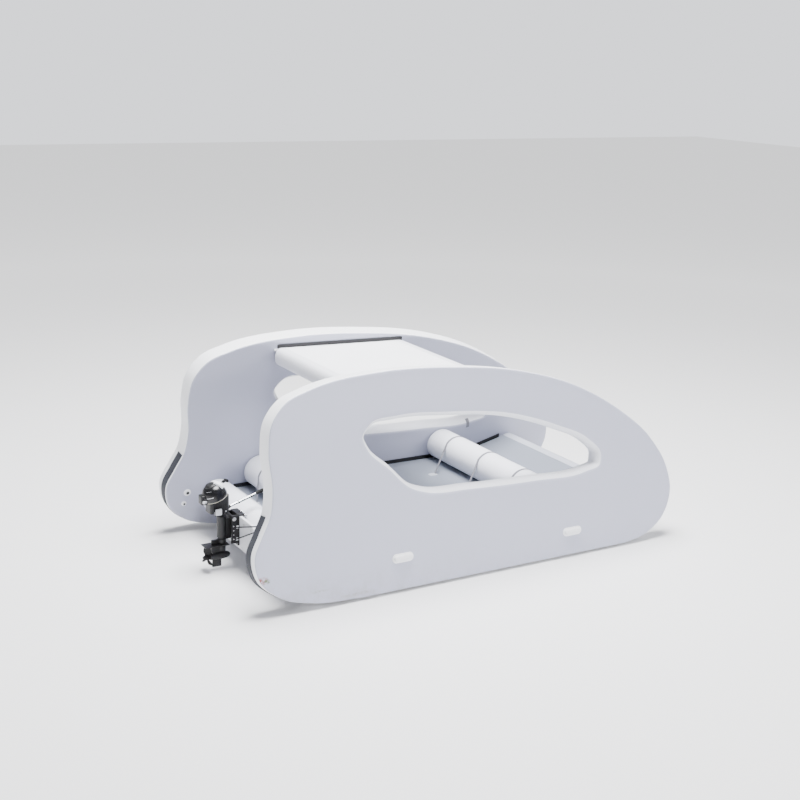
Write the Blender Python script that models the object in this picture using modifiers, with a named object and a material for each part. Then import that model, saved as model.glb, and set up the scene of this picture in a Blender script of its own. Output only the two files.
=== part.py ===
# Inflatable catamaran: two tall leaning panel hulls with long side windows,
# a roof panel and a floor panel between them, roll seats, a transom tube and
# a small outboard motor. Metres, bow towards +X, port towards +Y, up is +Z.
# The hull bottoms rest on z = 0.
import bpy
import bmesh
import math
from mathutils import Matrix, Vector

# driving dimensions
lean = math.radians(8.55)          # each hull panel leans inwards at the top
panelT = 0.165                     # hull panel thickness
bandR = 0.012                      # rounding of the panel's edge band
windowBulge = 0.050                # how far the rounded rim swells into the window
bottomHalf = 0.932                 # half distance of the panel middles at the bottom
gap = 0.0003                       # air between pieces that touch
floorTop = 0.339
floorT = 0.10
floorAft, floorKnee, floorBow = -1.318, 0.98, 1.50
floorRise = 0.145
roofT = 0.140
roofEnd = 0.045                    # length of the rounding at each end
roofAft, roofBow = -1.02, 0.20
roofTopAft, roofTopBow = 1.541, 1.506
roofCorner = 0.035                 # rounding of the roof corners in plan
rollR = 0.135
rollX = (-1.09, 0.69)
tubeR = 0.140
tubeX, tubeZ = -1.460, 0.309
steerX = -1.745                    # upright axis of the motor
tiltX, tiltZ = -1.668, 0.412       # cross axis of the motor
propZ, propR = 0.113, 0.078
strapY = (("port", 0.48, -0.10), ("centre", -0.02, -0.10), ("starboard", -0.52, -0.10))
strapW, strapT = 0.020, 0.003
rubShift = 0.025                   # the rub strips sit towards the inner side
stripBow = 1.345                   # bow end of the floor strips
strapReach = {"rear": 0.190, "middle": 0.285}   # roll axis back to the floor patch

# hull outline at the flat faces, seen from the side
hullOutline = [
    (1.40, 0.000), (0.20, 0.000), (-1.05, 0.000), (-1.45, 0.031), (-1.70, 0.110),
    (-1.855, 0.255), (-1.880, 0.420), (-1.815, 0.560), (-1.742, 0.705), (-1.715, 0.875),
    (-1.727, 1.150), (-1.690, 1.345), (-1.580, 1.475), (-1.400, 1.545), (-0.800, 1.618),
    (-0.200, 1.592), (0.400, 1.507), (0.930, 1.340), (1.350, 1.108), (1.680, 0.835),
    (1.855, 0.560), (1.890, 0.370), (1.810, 0.170), (1.620, 0.040)]

# window outline in the same plane
windowOutline = [
    (-1.013, 1.170), (-0.975, 1.063), (-0.800, 0.893), (-0.620, 0.724), (-0.480, 0.670),
    (-0.100, 0.640), (0.500, 0.618), (1.020, 0.622), (1.175, 0.668), (1.192, 0.775),
    (1.060, 0.920), (0.760, 1.065), (0.300, 1.216), (-0.250, 1.290), (-0.700, 1.312),
    (-0.930, 1.278)]


def clearAll():
    for o in list(bpy.data.objects):
        bpy.data.objects.remove(o, do_unlink=True)
    for m in list(bpy.data.meshes):
        bpy.data.meshes.remove(m)
    for c in list(bpy.data.curves):
        bpy.data.curves.remove(c)


clearAll()
boat = bpy.data.collections.new("inflatable_catamaran")
bpy.context.scene.collection.children.link(boat)
cutters = bpy.data.collections.new("cutters")
bpy.context.scene.collection.children.link(cutters)


def material(name, color, rough, metal=0.0):
    m = bpy.data.materials.new(name)
    m.use_nodes = True
    b = m.node_tree.nodes["Principled BSDF"]
    b.inputs["Base Color"].default_value = (*color, 1.0)
    b.inputs["Roughness"].default_value = rough
    b.inputs["Metallic"].default_value = metal
    return m


def smoothLoop(pts, step, closed=True):
    # points at even spacing on a smooth curve through pts
    n = len(pts)
    P = [Vector(p) for p in pts]
    out = []
    spans = n if closed else n - 1
    for i in range(spans):
        p1, p2 = P[i], P[(i + 1) % n]
        p0 = P[i - 1] if closed or i > 0 else p1 + (p1 - p2)
        p3 = P[(i + 2) % n] if closed or i + 2 < n else p2 + (p2 - p1)
        d1, d2, d3 = (p1 - p0).length, (p2 - p1).length, (p3 - p2).length
        m1 = (p1 - p0) / d1 - (p2 - p0) / (d1 + d2) + (p2 - p1) / d2
        m2 = (p2 - p1) / d2 - (p3 - p1) / (d2 + d3) + (p3 - p2) / d3
        m1, m2 = m1 * d2, m2 * d2
        k = max(1, round(d2 / step))
        for j in range(k):
            t = j / k
            a = 2 * t ** 3 - 3 * t ** 2 + 1
            b = t ** 3 - 2 * t ** 2 + t
            c = -2 * t ** 3 + 3 * t ** 2
            d = t ** 3 - t ** 2
            out.append(p1 * a + m1 * b + p2 * c + m2 * d)
    if not closed:
        out.append(P[-1])
    return [(q[0], q[1]) for q in out]


def smoothBottom(pts):
    # the long straight bottom stays exactly straight
    return [(x, max(z, 0.0)) if -1.05 <= x <= 1.40 and z < 0.02 else (x, z)
            for x, z in pts]


def addMesh(name, bm, mat, smooth=None):
    bmesh.ops.remove_doubles(bm, verts=bm.verts, dist=1e-6)
    bmesh.ops.recalc_face_normals(bm, faces=bm.faces)
    me = bpy.data.meshes.new(name)
    bm.to_mesh(me)
    bm.free()
    me.materials.append(mat)
    o = bpy.data.objects.new(name, me)
    boat.objects.link(o)
    if smooth is not None:
        for p in me.polygons:
            p.use_smooth = True
        me.set_sharp_from_angle(angle=math.radians(smooth))
    return o


def outlineSolid(name, loops, halfT, bevel, res, mat, place, smooth=35):
    # flat outline with rounded edges, made from a filled curve
    cu = bpy.data.curves.new(name + "_outline", "CURVE")
    cu.dimensions = "2D"
    cu.fill_mode = "BOTH"
    cu.extrude = halfT - bevel
    cu.bevel_depth = bevel
    cu.bevel_resolution = res
    for pts in loops:
        s = cu.splines.new("POLY")
        s.points.add(len(pts) - 1)
        for q, (x, z) in zip(s.points, pts):
            q.co = (x, z, 0.0, 1.0)
        s.use_cyclic_u = True
    tmp = bpy.data.objects.new(name + "_outline", cu)
    cutters.objects.link(tmp)
    bpy.context.view_layer.update()
    dg = bpy.context.evaluated_depsgraph_get()
    me = bpy.data.meshes.new_from_object(tmp.evaluated_get(dg))
    bm = bmesh.new()
    bm.from_mesh(me)
    bpy.data.objects.remove(tmp, do_unlink=True)
    bpy.data.curves.remove(cu)
    bpy.data.meshes.remove(me)
    bmesh.ops.remove_doubles(bm, verts=bm.verts, dist=1e-5)
    bmesh.ops.transform(bm, matrix=place, verts=bm.verts)
    return addMesh(name, bm, mat, smooth)


def besideLoop(pts, d):
    # moves a closed loop sideways along its own normals
    out = []
    for i, p in enumerate(pts):
        t = (Vector(pts[(i + 1) % len(pts)]) - Vector(pts[i - 1])).normalized()
        out.append((p[0] - t[1] * d, p[1] + t[0] * d))
    return out


def panelSolid(name, outer, hole, halfT, bevel, bulge, mat, place, smooth=35):
    # flat panel with a narrow rounded edge and a fully rounded rim in its window; the
    # outer loop runs clockwise from above and the hole anticlockwise
    bm = bmesh.new()
    quarter = [math.radians(a) for a in (90, 45, 0)]
    outerRings = [(bevel * math.cos(a), halfT - bevel + bevel * math.sin(a)) for a in quarter]
    outerRings += [(d, -h) for d, h in reversed(outerRings)]
    holeRings = [(bulge * math.cos(a), halfT * math.sin(a))
                 for a in (math.radians(90 - 180 * i / 10) for i in range(11))]
    edges = []
    for pts, rings in ((outer, outerRings), (hole, holeRings)):
        rows = [[bm.verts.new((x, z, h)) for x, z in besideLoop(pts, d)] for d, h in rings]
        n = len(pts)
        for a, b in zip(rows, rows[1:]):
            for i in range(n):
                j = (i + 1) % n
                bm.faces.new((a[i], a[j], b[j], b[i]))
        for row in (rows[0], rows[-1]):
            edges.append([bm.edges.get((row[i], row[(i + 1) % n])) for i in range(n)])
    bmesh.ops.triangle_fill(bm, use_beauty=True, edges=edges[0] + edges[2])
    bmesh.ops.triangle_fill(bm, use_beauty=True, edges=edges[1] + edges[3])
    bmesh.ops.transform(bm, matrix=place, verts=bm.verts)
    return addMesh(name, bm, mat, smooth)


# the panel's own plane: x along the boat, z up the panel, y across it
upright = Matrix.Rotation(math.radians(90), 4, "X")
bottomLift = bandR + (panelT / 2 - bandR) * math.sin(lean)


def hullPlace(side):
    # side +1 port, -1 starboard
    return (Matrix.Translation((0, side * bottomHalf, bottomLift))
            @ Matrix.Rotation(side * lean, 4, "X"))


def innerFace(side, z):
    # y of the hull's inner flat face at height z
    along = (z - bottomLift + panelT / 2 * math.sin(lean)) / math.cos(lean)
    return side * (bottomHalf - panelT / 2 * math.cos(lean) - along * math.sin(lean))


def betweenHulls(name, profile, mat, clear=gap, smooth=35, bevelEnds=0.0, steps=(0.0,)):
    # profile in x,z carried from hull to hull, ends cut to the hulls' lean; profile may
    # be a function of the distance from the hull, taken at the given steps
    shape = profile if callable(profile) else lambda d: profile
    bm = bmesh.new()
    rows = []
    for side, stops in ((-1, steps), (1, tuple(reversed(steps)))):
        for d in stops:
            rows.append([bm.verts.new((x, innerFace(side, z) - side * (clear + d), z))
                         for x, z in shape(d)])
    for a, b in zip(rows, rows[1:]):
        for i in range(len(a)):
            j = (i + 1) % len(a)
            bm.faces.new((a[i], a[j], b[j], b[i]))
    bm.faces.new(rows[0])
    bm.faces.new(rows[-1])
    if bevelEnds:
        ends = [e for e in bm.edges if len(e.link_faces) == 2
                and any(len(f.verts) > 4 for f in e.link_faces)]
        bmesh.ops.bevel(bm, geom=ends, offset=bevelEnds, segments=3, profile=0.5,
                        affect="EDGES", clamp_overlap=True)
    return addMesh(name, bm, mat, smooth)


def circle(cx, cz, r, n, start=0.0):
    return [(cx + r * math.cos(start + 2 * math.pi * i / n),
             cz + r * math.sin(start + 2 * math.pi * i / n)) for i in range(n)]


def roofLine(x):
    # height of the roof's flat top at x
    return roofTopAft + (roofTopBow - roofTopAft) * (x - roofAft) / (roofBow - roofAft)


def roofShape(d):
    # side profile of the roof at distance d from a hull, half round at both ends
    d = min(d, roofCorner)
    cut = roofCorner - math.sqrt(roofCorner ** 2 - (roofCorner - d) ** 2)
    half, n = roofT / 2, 8
    pts = []
    for start, x in ((90, roofBow - cut - roofEnd), (-90, roofAft + cut + roofEnd)):
        for i in range(n + 1):
            a = math.radians(start - 180 * i / n)
            pts.append((x + roofEnd * math.cos(a), roofLine(x) - half + half * math.sin(a)))
    return pts


def roofLevel(x):
    # height of the roof's top at x, with its rounded ends
    near = min(max(x, roofAft + roofEnd), roofBow - roofEnd)
    over = min(abs(x - near) / roofEnd, 1.0)
    return roofLine(near) - roofT / 2 * (1 - math.sqrt(1 - over * over))


def box(name, lo, hi, mat, bevel=0.0, seg=2, place=None, smooth=35):
    bm = bmesh.new()
    bmesh.ops.create_cube(bm, size=1.0)
    size = [hi[i] - lo[i] for i in range(3)]
    mid = [(hi[i] + lo[i]) / 2 for i in range(3)]
    bmesh.ops.scale(bm, vec=size, verts=bm.verts)
    bmesh.ops.translate(bm, vec=mid, verts=bm.verts)
    if bevel:
        bmesh.ops.bevel(bm, geom=list(bm.edges), offset=bevel, segments=seg,
                        profile=0.5, affect="EDGES", clamp_overlap=True)
    if place is not None:
        bmesh.ops.transform(bm, matrix=place, verts=bm.verts)
    return addMesh(name, bm, mat, smooth)


def turned(name, rings, mat, axisFrom, axisTo, n=32, smooth=40):
    # rings of (distance along the axis, radius), turned and closed at both ends
    a = Vector(axisFrom)
    d = (Vector(axisTo) - a).normalized()
    place = Matrix.Translation(a) @ d.to_track_quat("Z", "Y").to_matrix().to_4x4()
    side = [(rings[0][0], 0.0)] + list(rings) + [(rings[-1][0], 0.0)]
    me = bpy.data.meshes.new(name + "_side")
    me.from_pydata([(r, 0.0, h) for h, r in side],
                   [(i, i + 1) for i in range(len(side) - 1)], [])
    tmp = bpy.data.objects.new(name + "_side", me)
    cutters.objects.link(tmp)
    screw = tmp.modifiers.new("turn", "SCREW")
    screw.steps = screw.render_steps = n
    screw.use_merge_vertices = True
    screw.merge_threshold = 1e-5
    bpy.context.view_layer.update()
    dg = bpy.context.evaluated_depsgraph_get()
    whole = bpy.data.meshes.new_from_object(tmp.evaluated_get(dg))
    bm = bmesh.new()
    bm.from_mesh(whole)
    bpy.data.objects.remove(tmp, do_unlink=True)
    bpy.data.meshes.remove(me)
    bpy.data.meshes.remove(whole)
    bmesh.ops.transform(bm, matrix=place, verts=bm.verts)
    return addMesh(name, bm, mat, smooth)


def tautLine(name, a, b, radius, mat):
    # straight line of rope as a curve with filled caps
    cu = bpy.data.curves.new(name, "CURVE")
    cu.dimensions = "3D"
    cu.bevel_depth = radius
    cu.bevel_resolution = 2
    cu.use_fill_caps = True
    s = cu.splines.new("POLY")
    s.points.add(1)
    for q, v in zip(s.points, (a, b)):
        q.co = (*v, 1.0)
    cu.materials.append(mat)
    o = bpy.data.objects.new(name, cu)
    boat.objects.link(o)
    return o


def setOrigin(o, at):
    at = Vector(at)
    o.data.transform(Matrix.Translation(-at))
    o.location = at


def join(name, parts, mat):
    # union of overlapping bodies into one solid
    base = parts[0]
    for other in parts[1:]:
        m = base.modifiers.new("union", "BOOLEAN")
        m.operation = "UNION"
        m.solver = "EXACT"
        m.object = other
        bpy.context.view_layer.update()
        dg = bpy.context.evaluated_depsgraph_get()
        me = bpy.data.meshes.new_from_object(base.evaluated_get(dg))
        base.modifiers.clear()
        old = base.data
        base.data = me
        bpy.data.meshes.remove(old)
        bpy.data.objects.remove(other, do_unlink=True)
    bm = bmesh.new()
    bm.from_mesh(base.data)
    bmesh.ops.remove_doubles(bm, verts=bm.verts, dist=1e-6)
    bmesh.ops.dissolve_degenerate(bm, edges=bm.edges, dist=1e-6)
    bm.to_mesh(base.data)
    bm.free()
    base.data.materials.clear()
    base.data.materials.append(mat)
    base.name = name
    base.data.name = name
    base.data.set_sharp_from_angle(angle=math.radians(35))
    return base


white = material("panel_white", (0.80, 0.80, 0.83), 0.45)
lilac = material("panel_grey", (0.58, 0.58, 0.66), 0.5)
black = material("rubber_black", (0.03, 0.03, 0.035), 0.7)
greyRub = material("rubber_grey", (0.09, 0.09, 0.10), 0.75)
webbing = material("webbing_grey", (0.35, 0.35, 0.38), 0.8)
handleMat = material("handle_white", (0.78, 0.78, 0.78), 0.5)
boardMat = material("board_white", (0.75, 0.75, 0.76), 0.4)
cowlMat = material("cowl_black", (0.02, 0.02, 0.022), 0.3)
castMat = material("cast_black", (0.04, 0.04, 0.045), 0.5)
tubeMat = material("tube_silver", (0.75, 0.76, 0.78), 0.25, 1.0)
propMat = material("prop_black", (0.05, 0.05, 0.05), 0.4)

# hull panels
outline = smoothBottom(smoothLoop(hullOutline, 0.065))
window = smoothLoop(windowOutline, 0.065)
sides = (("starboard", -1), ("port", 1))
for label, side in sides:
    place = hullPlace(side) @ upright
    panelSolid("hull_" + label, outline, window, panelT / 2, bandR, windowBulge, lilac, place)


def offsetPath(pts, d):
    # moves an open path sideways, outwards of the hull
    out = []
    for i, (x, z) in enumerate(pts):
        a = Vector(pts[max(i - 1, 0)])
        b = Vector(pts[min(i + 1, len(pts) - 1)])
        t = (b - a).normalized()
        out.append((x - t[1] * d, z + t[0] * d))
    return out


# rub strips on the rounded stern lobes
lobe = [p for p in outline if p[0] < -1.50 and p[1] < 0.700]
lobe.sort(key=lambda p: math.atan2(p[1] - 0.42, -(p[0] + 1.45)))
inner = offsetPath(lobe, bandR + gap)
outer = offsetPath(lobe, bandR + 0.0065)
if sum(math.hypot(x + 1.45, z - 0.4) for x, z in inner) < sum(
        math.hypot(x + 1.45, z - 0.4) for x, z in lobe):
    inner = offsetPath(lobe, -bandR - gap)
    outer = offsetPath(lobe, -bandR - 0.0065)
for label, side in sides:
    place = hullPlace(side) @ Matrix.Translation((0, -side * rubShift, 0)) @ upright
    outlineSolid("rub_strip_" + label, [inner + outer[::-1]], 0.041, 0.0, 0, greyRub,
                 place, 60)

# floor with its raised bow end
r = floorT / 2
floorPts = [(floorAft, floorTop)]
bowTop = floorTop + floorRise
slope = math.atan2(floorRise, floorBow - floorKnee)
knee = [(floorKnee - 0.10, floorTop), (floorKnee, floorTop + 0.010),
        (floorKnee + 0.10, floorTop + 0.035)]
floorPts += knee
nx, nz = -math.sin(slope), math.cos(slope)
cx, cz = floorBow - nx * 0 - r * math.cos(slope), bowTop - r * nz - r * math.sin(slope)
for i in range(9):
    a = math.pi / 2 + slope - math.pi * i / 8
    floorPts.append((cx + r * math.cos(a), cz + r * math.sin(a)))
floorPts += [(floorKnee + 0.12, floorTop + 0.035 - floorT * 0.97),
             (floorKnee + 0.02, floorTop + 0.008 - floorT),
             (floorKnee - 0.10, floorTop - floorT), (floorAft, floorTop - floorT)]
betweenHulls("floor_panel", floorPts, white)

# roof
betweenHulls("roof_panel", roofShape, white,
             steps=[roofCorner * (1 - math.cos(math.radians(a))) for a in (0, 30, 60, 90)])


def joinStrip(name, side, path, high, thick, mat):
    # an upright strip on the hull's inner face, standing on a panel's edge
    bm = bmesh.new()
    rows = []
    for x, z in path:
        row = []
        for dz in (0.0, high):
            y = innerFace(side, z + dz)
            row.append(bm.verts.new((x, y - side * gap, z + dz)))
            row.append(bm.verts.new((x, y - side * (gap + thick), z + dz)))
        rows.append([row[0], row[1], row[3], row[2]])
    for u, v in zip(rows, rows[1:]):
        for i in range(4):
            j = (i + 1) % 4
            bm.faces.new((u[i], u[j], v[j], v[i]))
    bm.faces.new(rows[0])
    bm.faces.new(rows[-1])
    return addMesh(name, bm, mat, 35)


share = (stripBow - knee[-1][0]) / (floorPts[4][0] - knee[-1][0])
rampEnd = knee[-1][1] + share * (floorPts[4][1] - knee[-1][1])
for label, side in sides:
    path = [(x, z + 2 * gap) for x, z in
            [(floorAft + 0.012, floorTop)] + knee + [(stripBow, rampEnd)]]
    joinStrip("floor_strip_" + label, side, path, 0.034, 0.007, black)
    path = [(x, roofLevel(x) + 0.0012)
            for x in (-0.992, -0.985, -0.975, -0.40, 0.155, 0.166, 0.174)]
    joinStrip("roof_strip_" + label, side, path, 0.030, 0.007, black)

# transom tube and roll seats
betweenHulls("transom_tube", circle(tubeX, tubeZ, tubeR, 40), white, bevelEnds=0.03)
snug = 0.0006                      # air between a strap and its roll
rollZ = floorTop + strapT + gap + snug + rollR + gap


def strapPath(x, reach):
    # from the patch on the floor up to the roll, over it and under it to the floor
    zFloor = floorTop + gap + strapT / 2
    r = rollR + snug + strapT / 2
    far = math.hypot(reach, rollZ - zFloor)
    bend = math.acos(r / far)
    point = math.atan2(zFloor - rollZ, -reach)
    first = math.degrees(point - bend)
    pts = [(x - reach - 0.030, zFloor), (x - reach - 0.015, zFloor), (x - reach, zFloor)]
    n = 30
    last = -90 + 4
    if first < 0:
        first += 360
    for i in range(n + 1):
        a = math.radians(first + (last - first) * i / n)
        pts.append((x + r * math.cos(a), rollZ + r * math.sin(a)))
    return pts


def ribbon(name, path, y, slant, width, thick, mat):
    # flat band of even thickness along a path in x,z; its first three points lie aside
    bm = bmesh.new()
    rows = []
    for i, (x, z) in enumerate(path):
        ends = []
        for a, b in ((i - 1, i), (i, i + 1)):
            if 0 <= a and b < len(path):
                t = Vector(path[b]) - Vector(path[a])
                ends.append(t.normalized())
        t = sum(ends, Vector((0, 0))).normalized()
        h = thick / 2 / max(0.6, t.dot(ends[0]))
        nx, nz = -t[1] * h, t[0] * h
        mid = y + slant if i < 3 else y
        rows.append([bm.verts.new((x + s * nx, mid + w * width / 2, z + s * nz))
                     for s, w in ((-1, -1), (1, -1), (1, 1), (-1, 1))])
    for u, v in zip(rows, rows[1:]):
        for k in range(4):
            j = (k + 1) % 4
            bm.faces.new((u[k], u[j], v[j], v[k]))
    bm.faces.new(rows[0])
    bm.faces.new(rows[-1])
    return addMesh(name, bm, mat, 35)


for label, x in zip(("rear", "middle"), rollX):
    betweenHulls("seat_roll_" + label, circle(x, rollZ, rollR, 40), white,
                 clear=0.0078, bevelEnds=0.02)
    for end, y, slant in strapY:
        ribbon("seat_strap_" + label + "_" + end, strapPath(x, strapReach[label]), y, slant,
               strapW, strapT, webbing)

# carrying handles on the outer faces, tabs and valves on the inner faces
tabX, tabHalf, tabT = 0.980, 0.015, 0.003


def sillAt(x):
    # height of the window's lower edge at x
    for (x0, z0), (x1, z1) in zip(window, window[1:]):
        if x0 <= x < x1 and z0 < 0.8:
            return z0 + (z1 - z0) * (x - x0) / (x1 - x0)


def hangTab(name, side, place):
    # webbing that starts on the inner face and lies over the window's rounded sill
    half = panelT / 2
    bm = bmesh.new()
    cols = []
    for x in (tabX - tabHalf, tabX + tabHalf):
        sill = sillAt(x)
        below = [(sill - 0.028, half + gap, 0.0, 1.0)]
        for deg in (90, 72, 54, 36):
            a = math.radians(deg)
            n = Vector((math.cos(a) / windowBulge, math.sin(a) / half)).normalized()
            below.append((sill + windowBulge * math.cos(a) + n[0] * 0.0012,
                          half * math.sin(a) + max(n[1] * 0.0012, gap if deg == 90 else 0.0),
                          n[0], n[1]))
        below[1] = (below[1][0], half + gap, below[1][2], below[1][3])
        near = [bm.verts.new((x, -side * h, z)) for z, h, u, v in below]
        away = [bm.verts.new((x, -side * (h + v * tabT), z + u * tabT)) for z, h, u, v in below]
        cols.append(near + away[::-1])
    n = len(cols[0])
    for i in range(n):
        j = (i + 1) % n
        bm.faces.new((cols[0][i], cols[0][j], cols[1][j], cols[1][i]))
    bm.faces.new(cols[0])
    bm.faces.new(cols[1])
    bmesh.ops.transform(bm, matrix=place, verts=bm.verts)
    addMesh(name, bm, webbing, 35)


for label, side in sides:
    place = hullPlace(side)
    out = side * (panelT / 2 + gap)
    for spot, x, z in (("aft", -0.71, 0.229), ("bow", 0.86, 0.176)):
        pill = [(x + s * 0.056 + 0.028 * math.cos(math.radians(a)),
                 z + 0.028 * math.sin(math.radians(a)))
                for s, arc in ((1, range(-90, 91, 15)), (-1, range(90, 271, 15))) for a in arc]
        at = place @ Matrix.Translation((0, out + side * 0.0133, 0)) @ upright
        outlineSolid("handle_" + label + "_" + spot, [pill], 0.013, 0.007, 2, handleMat, at)
    inn = -side * (panelT / 2 + gap)
    hangTab("hang_tab_" + label, side, place)
    for spot, x, z, rad in (("upper", -1.711, 0.353, 0.030), ("lower", -1.737, 0.256, 0.022)):
        a = place @ Vector((x, inn, z))
        b = place @ Vector((x, inn - side * 0.1, z))
        turned("valve_" + label + "_" + spot,
               [(0, rad), (0.004, rad), (0.008, rad * 0.8), (0.012, rad * 0.75),
                (0.013, rad * 0.6)], handleMat, a, b, 28)

# air valve on the transom tube's port end, cap turned up and aft
d = Vector((0.35, 0, 1)).normalized()
a = Vector((tubeX, 0.70, tubeZ)) + d * (tubeR - 0.0002)
turned("transom_valve", [(0.0005, 0.024), (0.010, 0.024), (0.018, 0.020), (0.020, 0.017)],
       black, a, a + d, 28)

# motor mount board, tangent to the transom tube's after side, lower corners cut
boardX = tubeX - tubeR - gap
boardOutline = [(-0.190, 0.165), (0.190, 0.165), (0.320, 0.250), (0.320, 0.405),
                (0.295, 0.430), (-0.295, 0.430), (-0.320, 0.405), (-0.320, 0.250)]
bm = bmesh.new()
front = [bm.verts.new((boardX, y, z)) for y, z in boardOutline]
back = [bm.verts.new((boardX - 0.026, y, z)) for y, z in boardOutline]
for i in range(8):
    j = (i + 1) % 8
    bm.faces.new((front[i], front[j], back[j], back[i]))
bm.faces.new(front)
bm.faces.new(back)
bmesh.ops.bevel(bm, geom=list(bm.edges), offset=0.006, segments=2, profile=0.5,
                affect="EDGES", clamp_overlap=True)
addMesh("motor_board", bm, boardMat, 35)
aft = boardX - 0.026 - gap

# clamp bracket hooked over the board
bits = [box("b0", (aft - 0.014, -0.070, 0.195), (aft, 0.070, 0.446), castMat)]
bits.append(box("b1", (aft - 0.010, -0.070, 0.4305), (boardX + 0.016, 0.070, 0.445), castMat))
bits.append(box("b2", (boardX + 0.004, -0.068, 0.400), (boardX + 0.016, 0.068, 0.438), castMat))
for s in (-1, 1):
    y0, y1 = sorted((s * 0.052, s * 0.068))
    bits.append(box("b3", (tiltX - 0.022, y0, 0.215), (aft - 0.004, y1, 0.440), castMat))
join("clamp_bracket", bits, castMat)

# clamp screws with their turning bars
for label, s in sides:
    y = s * 0.042
    x0 = boardX + 0.016 + gap
    a = turned("s0", [(0, 0.007), (0.026, 0.007)], tubeMat, (x0, y, 0.424), (x0 + 1, y, 0.424), 20)
    b = turned("s1", [(0, 0.005), (0.056, 0.005)], tubeMat, (x0 + 0.020, y - 0.028, 0.424),
               (x0 + 0.020, y + 1, 0.424), 16)
    join("clamp_screw_" + label, [a, b], tubeMat)

# swivel bracket on the cross axis, with the sleeve of the upright axis
bits = [turned("w0", [(0, 0.017), (0.1024, 0.017)], castMat, (tiltX, -0.0512, tiltZ),
               (tiltX, 1, tiltZ), 32)]
bits.append(box("w1", (steerX, -0.026, 0.285), (tiltX + 0.004, 0.026, tiltZ), castMat))
bits.append(turned("w2", [(0, 0.036), (0.170, 0.036)], castMat, (steerX, 0, 0.262),
                   (steerX, 0, 1), 32))
swivel = join("swivel_bracket", bits, castMat)
bore = turned("swivel_bore", [(0, 0.0258), (0.30, 0.0258)], castMat, (steerX, 0, 0.22),
              (steerX, 0, 1), 32)
m = swivel.modifiers.new("bore", "BOOLEAN")
m.operation = "DIFFERENCE"
m.solver = "EXACT"
m.object = bore
bpy.context.view_layer.update()
dg = bpy.context.evaluated_depsgraph_get()
me = bpy.data.meshes.new_from_object(swivel.evaluated_get(dg))
swivel.modifiers.clear()
swivel.data = me
bpy.data.objects.remove(bore, do_unlink=True)
setOrigin(swivel, (tiltX, 0, tiltZ))

# leg: tube through the sleeve, then the housing with its plate
panZ = 0.474
bits = [turned("l0", [(0, 0.025), (0.063, 0.025), (0.0635, 0.034), (0.089, 0.034),
                      (0.099, 0.025), (panZ - 0.0005 - 0.155, 0.025)], castMat,
               (steerX, 0, 0.155), (steerX, 0, 1), 32)]
bits.append(box("l2", (steerX - 0.085, -0.014, 0.1475), (steerX + 0.030, 0.014, 0.246),
                castMat, 0.008, 2))
bits.append(box("l3", (steerX - 0.150, -0.050, 0.2015), (steerX + 0.045, 0.050, 0.2075),
                castMat))
leg = join("leg", bits, castMat)

# gear case with its skeg
bits = [turned("g0", [(0, 0.004), (0.012, 0.018), (0.035, 0.028), (0.080, 0.032),
                      (0.130, 0.030), (0.165, 0.026)], castMat,
               (steerX + 0.070, 0, propZ), (steerX - 1, 0, propZ), 28)]
bits.append(box("g1", (steerX - 0.080, -0.011, 0.110), (steerX + 0.026, 0.011, 0.1472),
                castMat))
bits.append(box("g2", (steerX - 0.078, -0.004, 0.025), (steerX - 0.005, 0.004, 0.110),
                castMat))
gear = join("gear_case", bits, castMat)

# propeller: hub and three blades
hubLen = 0.060
bits = [turned("p0", [(0, 0.022), (0.035, 0.021), (0.052, 0.014), (hubLen, 0.005)], propMat,
               (steerX - 0.0958, 0, propZ), (steerX - 1, 0, propZ), 28)]
propMid = steerX - 0.0958 - 0.022
for k in range(3):
    bm = bmesh.new()
    rows = []
    for i in range(5):
        rr = 0.014 + (propR - 0.014) * i / 4
        half = 0.016 + 0.018 * math.sin(math.pi * (0.15 + 0.70 * i / 4))
        pitch = math.radians(58 - 26 * i / 4)
        row = []
        for u, v in ((-1, -1), (1, -1), (1, 1), (-1, 1)):
            w, t = u * half, v * 0.0016
            row.append(bm.verts.new((propMid - w * math.cos(pitch) + t * math.sin(pitch),
                                     w * math.sin(pitch) + t * math.cos(pitch), rr)))
        rows.append(row)
    for a, b in zip(rows, rows[1:]):
        for i in range(4):
            j = (i + 1) % 4
            bm.faces.new((a[i], a[j], b[j], b[i]))
    bm.faces.new(rows[0])
    bm.faces.new(rows[-1])
    bmesh.ops.transform(bm, matrix=Matrix.Rotation(2 * math.pi * k / 3, 4, "X"),
                        verts=bm.verts)
    bmesh.ops.translate(bm, vec=(0, 0, propZ), verts=bm.verts)
    bits.append(addMesh("pb", bm, propMat))
prop = join("propeller", bits, propMat)
setOrigin(prop, (propMid, 0, propZ))

# power head: pan with a sloping top, domed engine cover and starter housing on it
headX, headZ, headTilt = -1.790, 0.578, math.radians(20)
domeUp = Vector((-math.sin(headTilt), 0, math.cos(headTilt)))
tA = Vector((-1.700, 0.0, 0.489))
tB = Vector((-1.391, 0.0, 0.590))
u = (tB - tA).normalized()
bm = bmesh.new()
panSide = [(-1.855, panZ), (-1.700, panZ), (-1.700, headZ), (-1.855, headZ)]
panSide = panSide[:2] + [(x, headZ + (x - headX) * math.tan(headTilt) - 0.0004)
                         for x, z in panSide[2:]]
a = [bm.verts.new((x, -0.058, z)) for x, z in panSide]
b = [bm.verts.new((x, 0.058, z)) for x, z in panSide]
for i in range(4):
    j = (i + 1) % 4
    bm.faces.new((a[i], a[j], b[j], b[i]))
bm.faces.new(a)
bm.faces.new(b)
upright4 = [e for e in bm.edges if abs(e.verts[0].co.x - e.verts[1].co.x) < 1e-6
            and abs(e.verts[0].co.z - e.verts[1].co.z) > 0.01]
bmesh.ops.bevel(bm, geom=upright4, offset=0.020, segments=3, profile=0.5, affect="EDGES")
pan = addMesh("m0", bm, castMat, 35)
stub = turned("m1", [(-0.010, 0.012), (0.030, 0.012)], castMat, tA, tA + u, 24)
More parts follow.
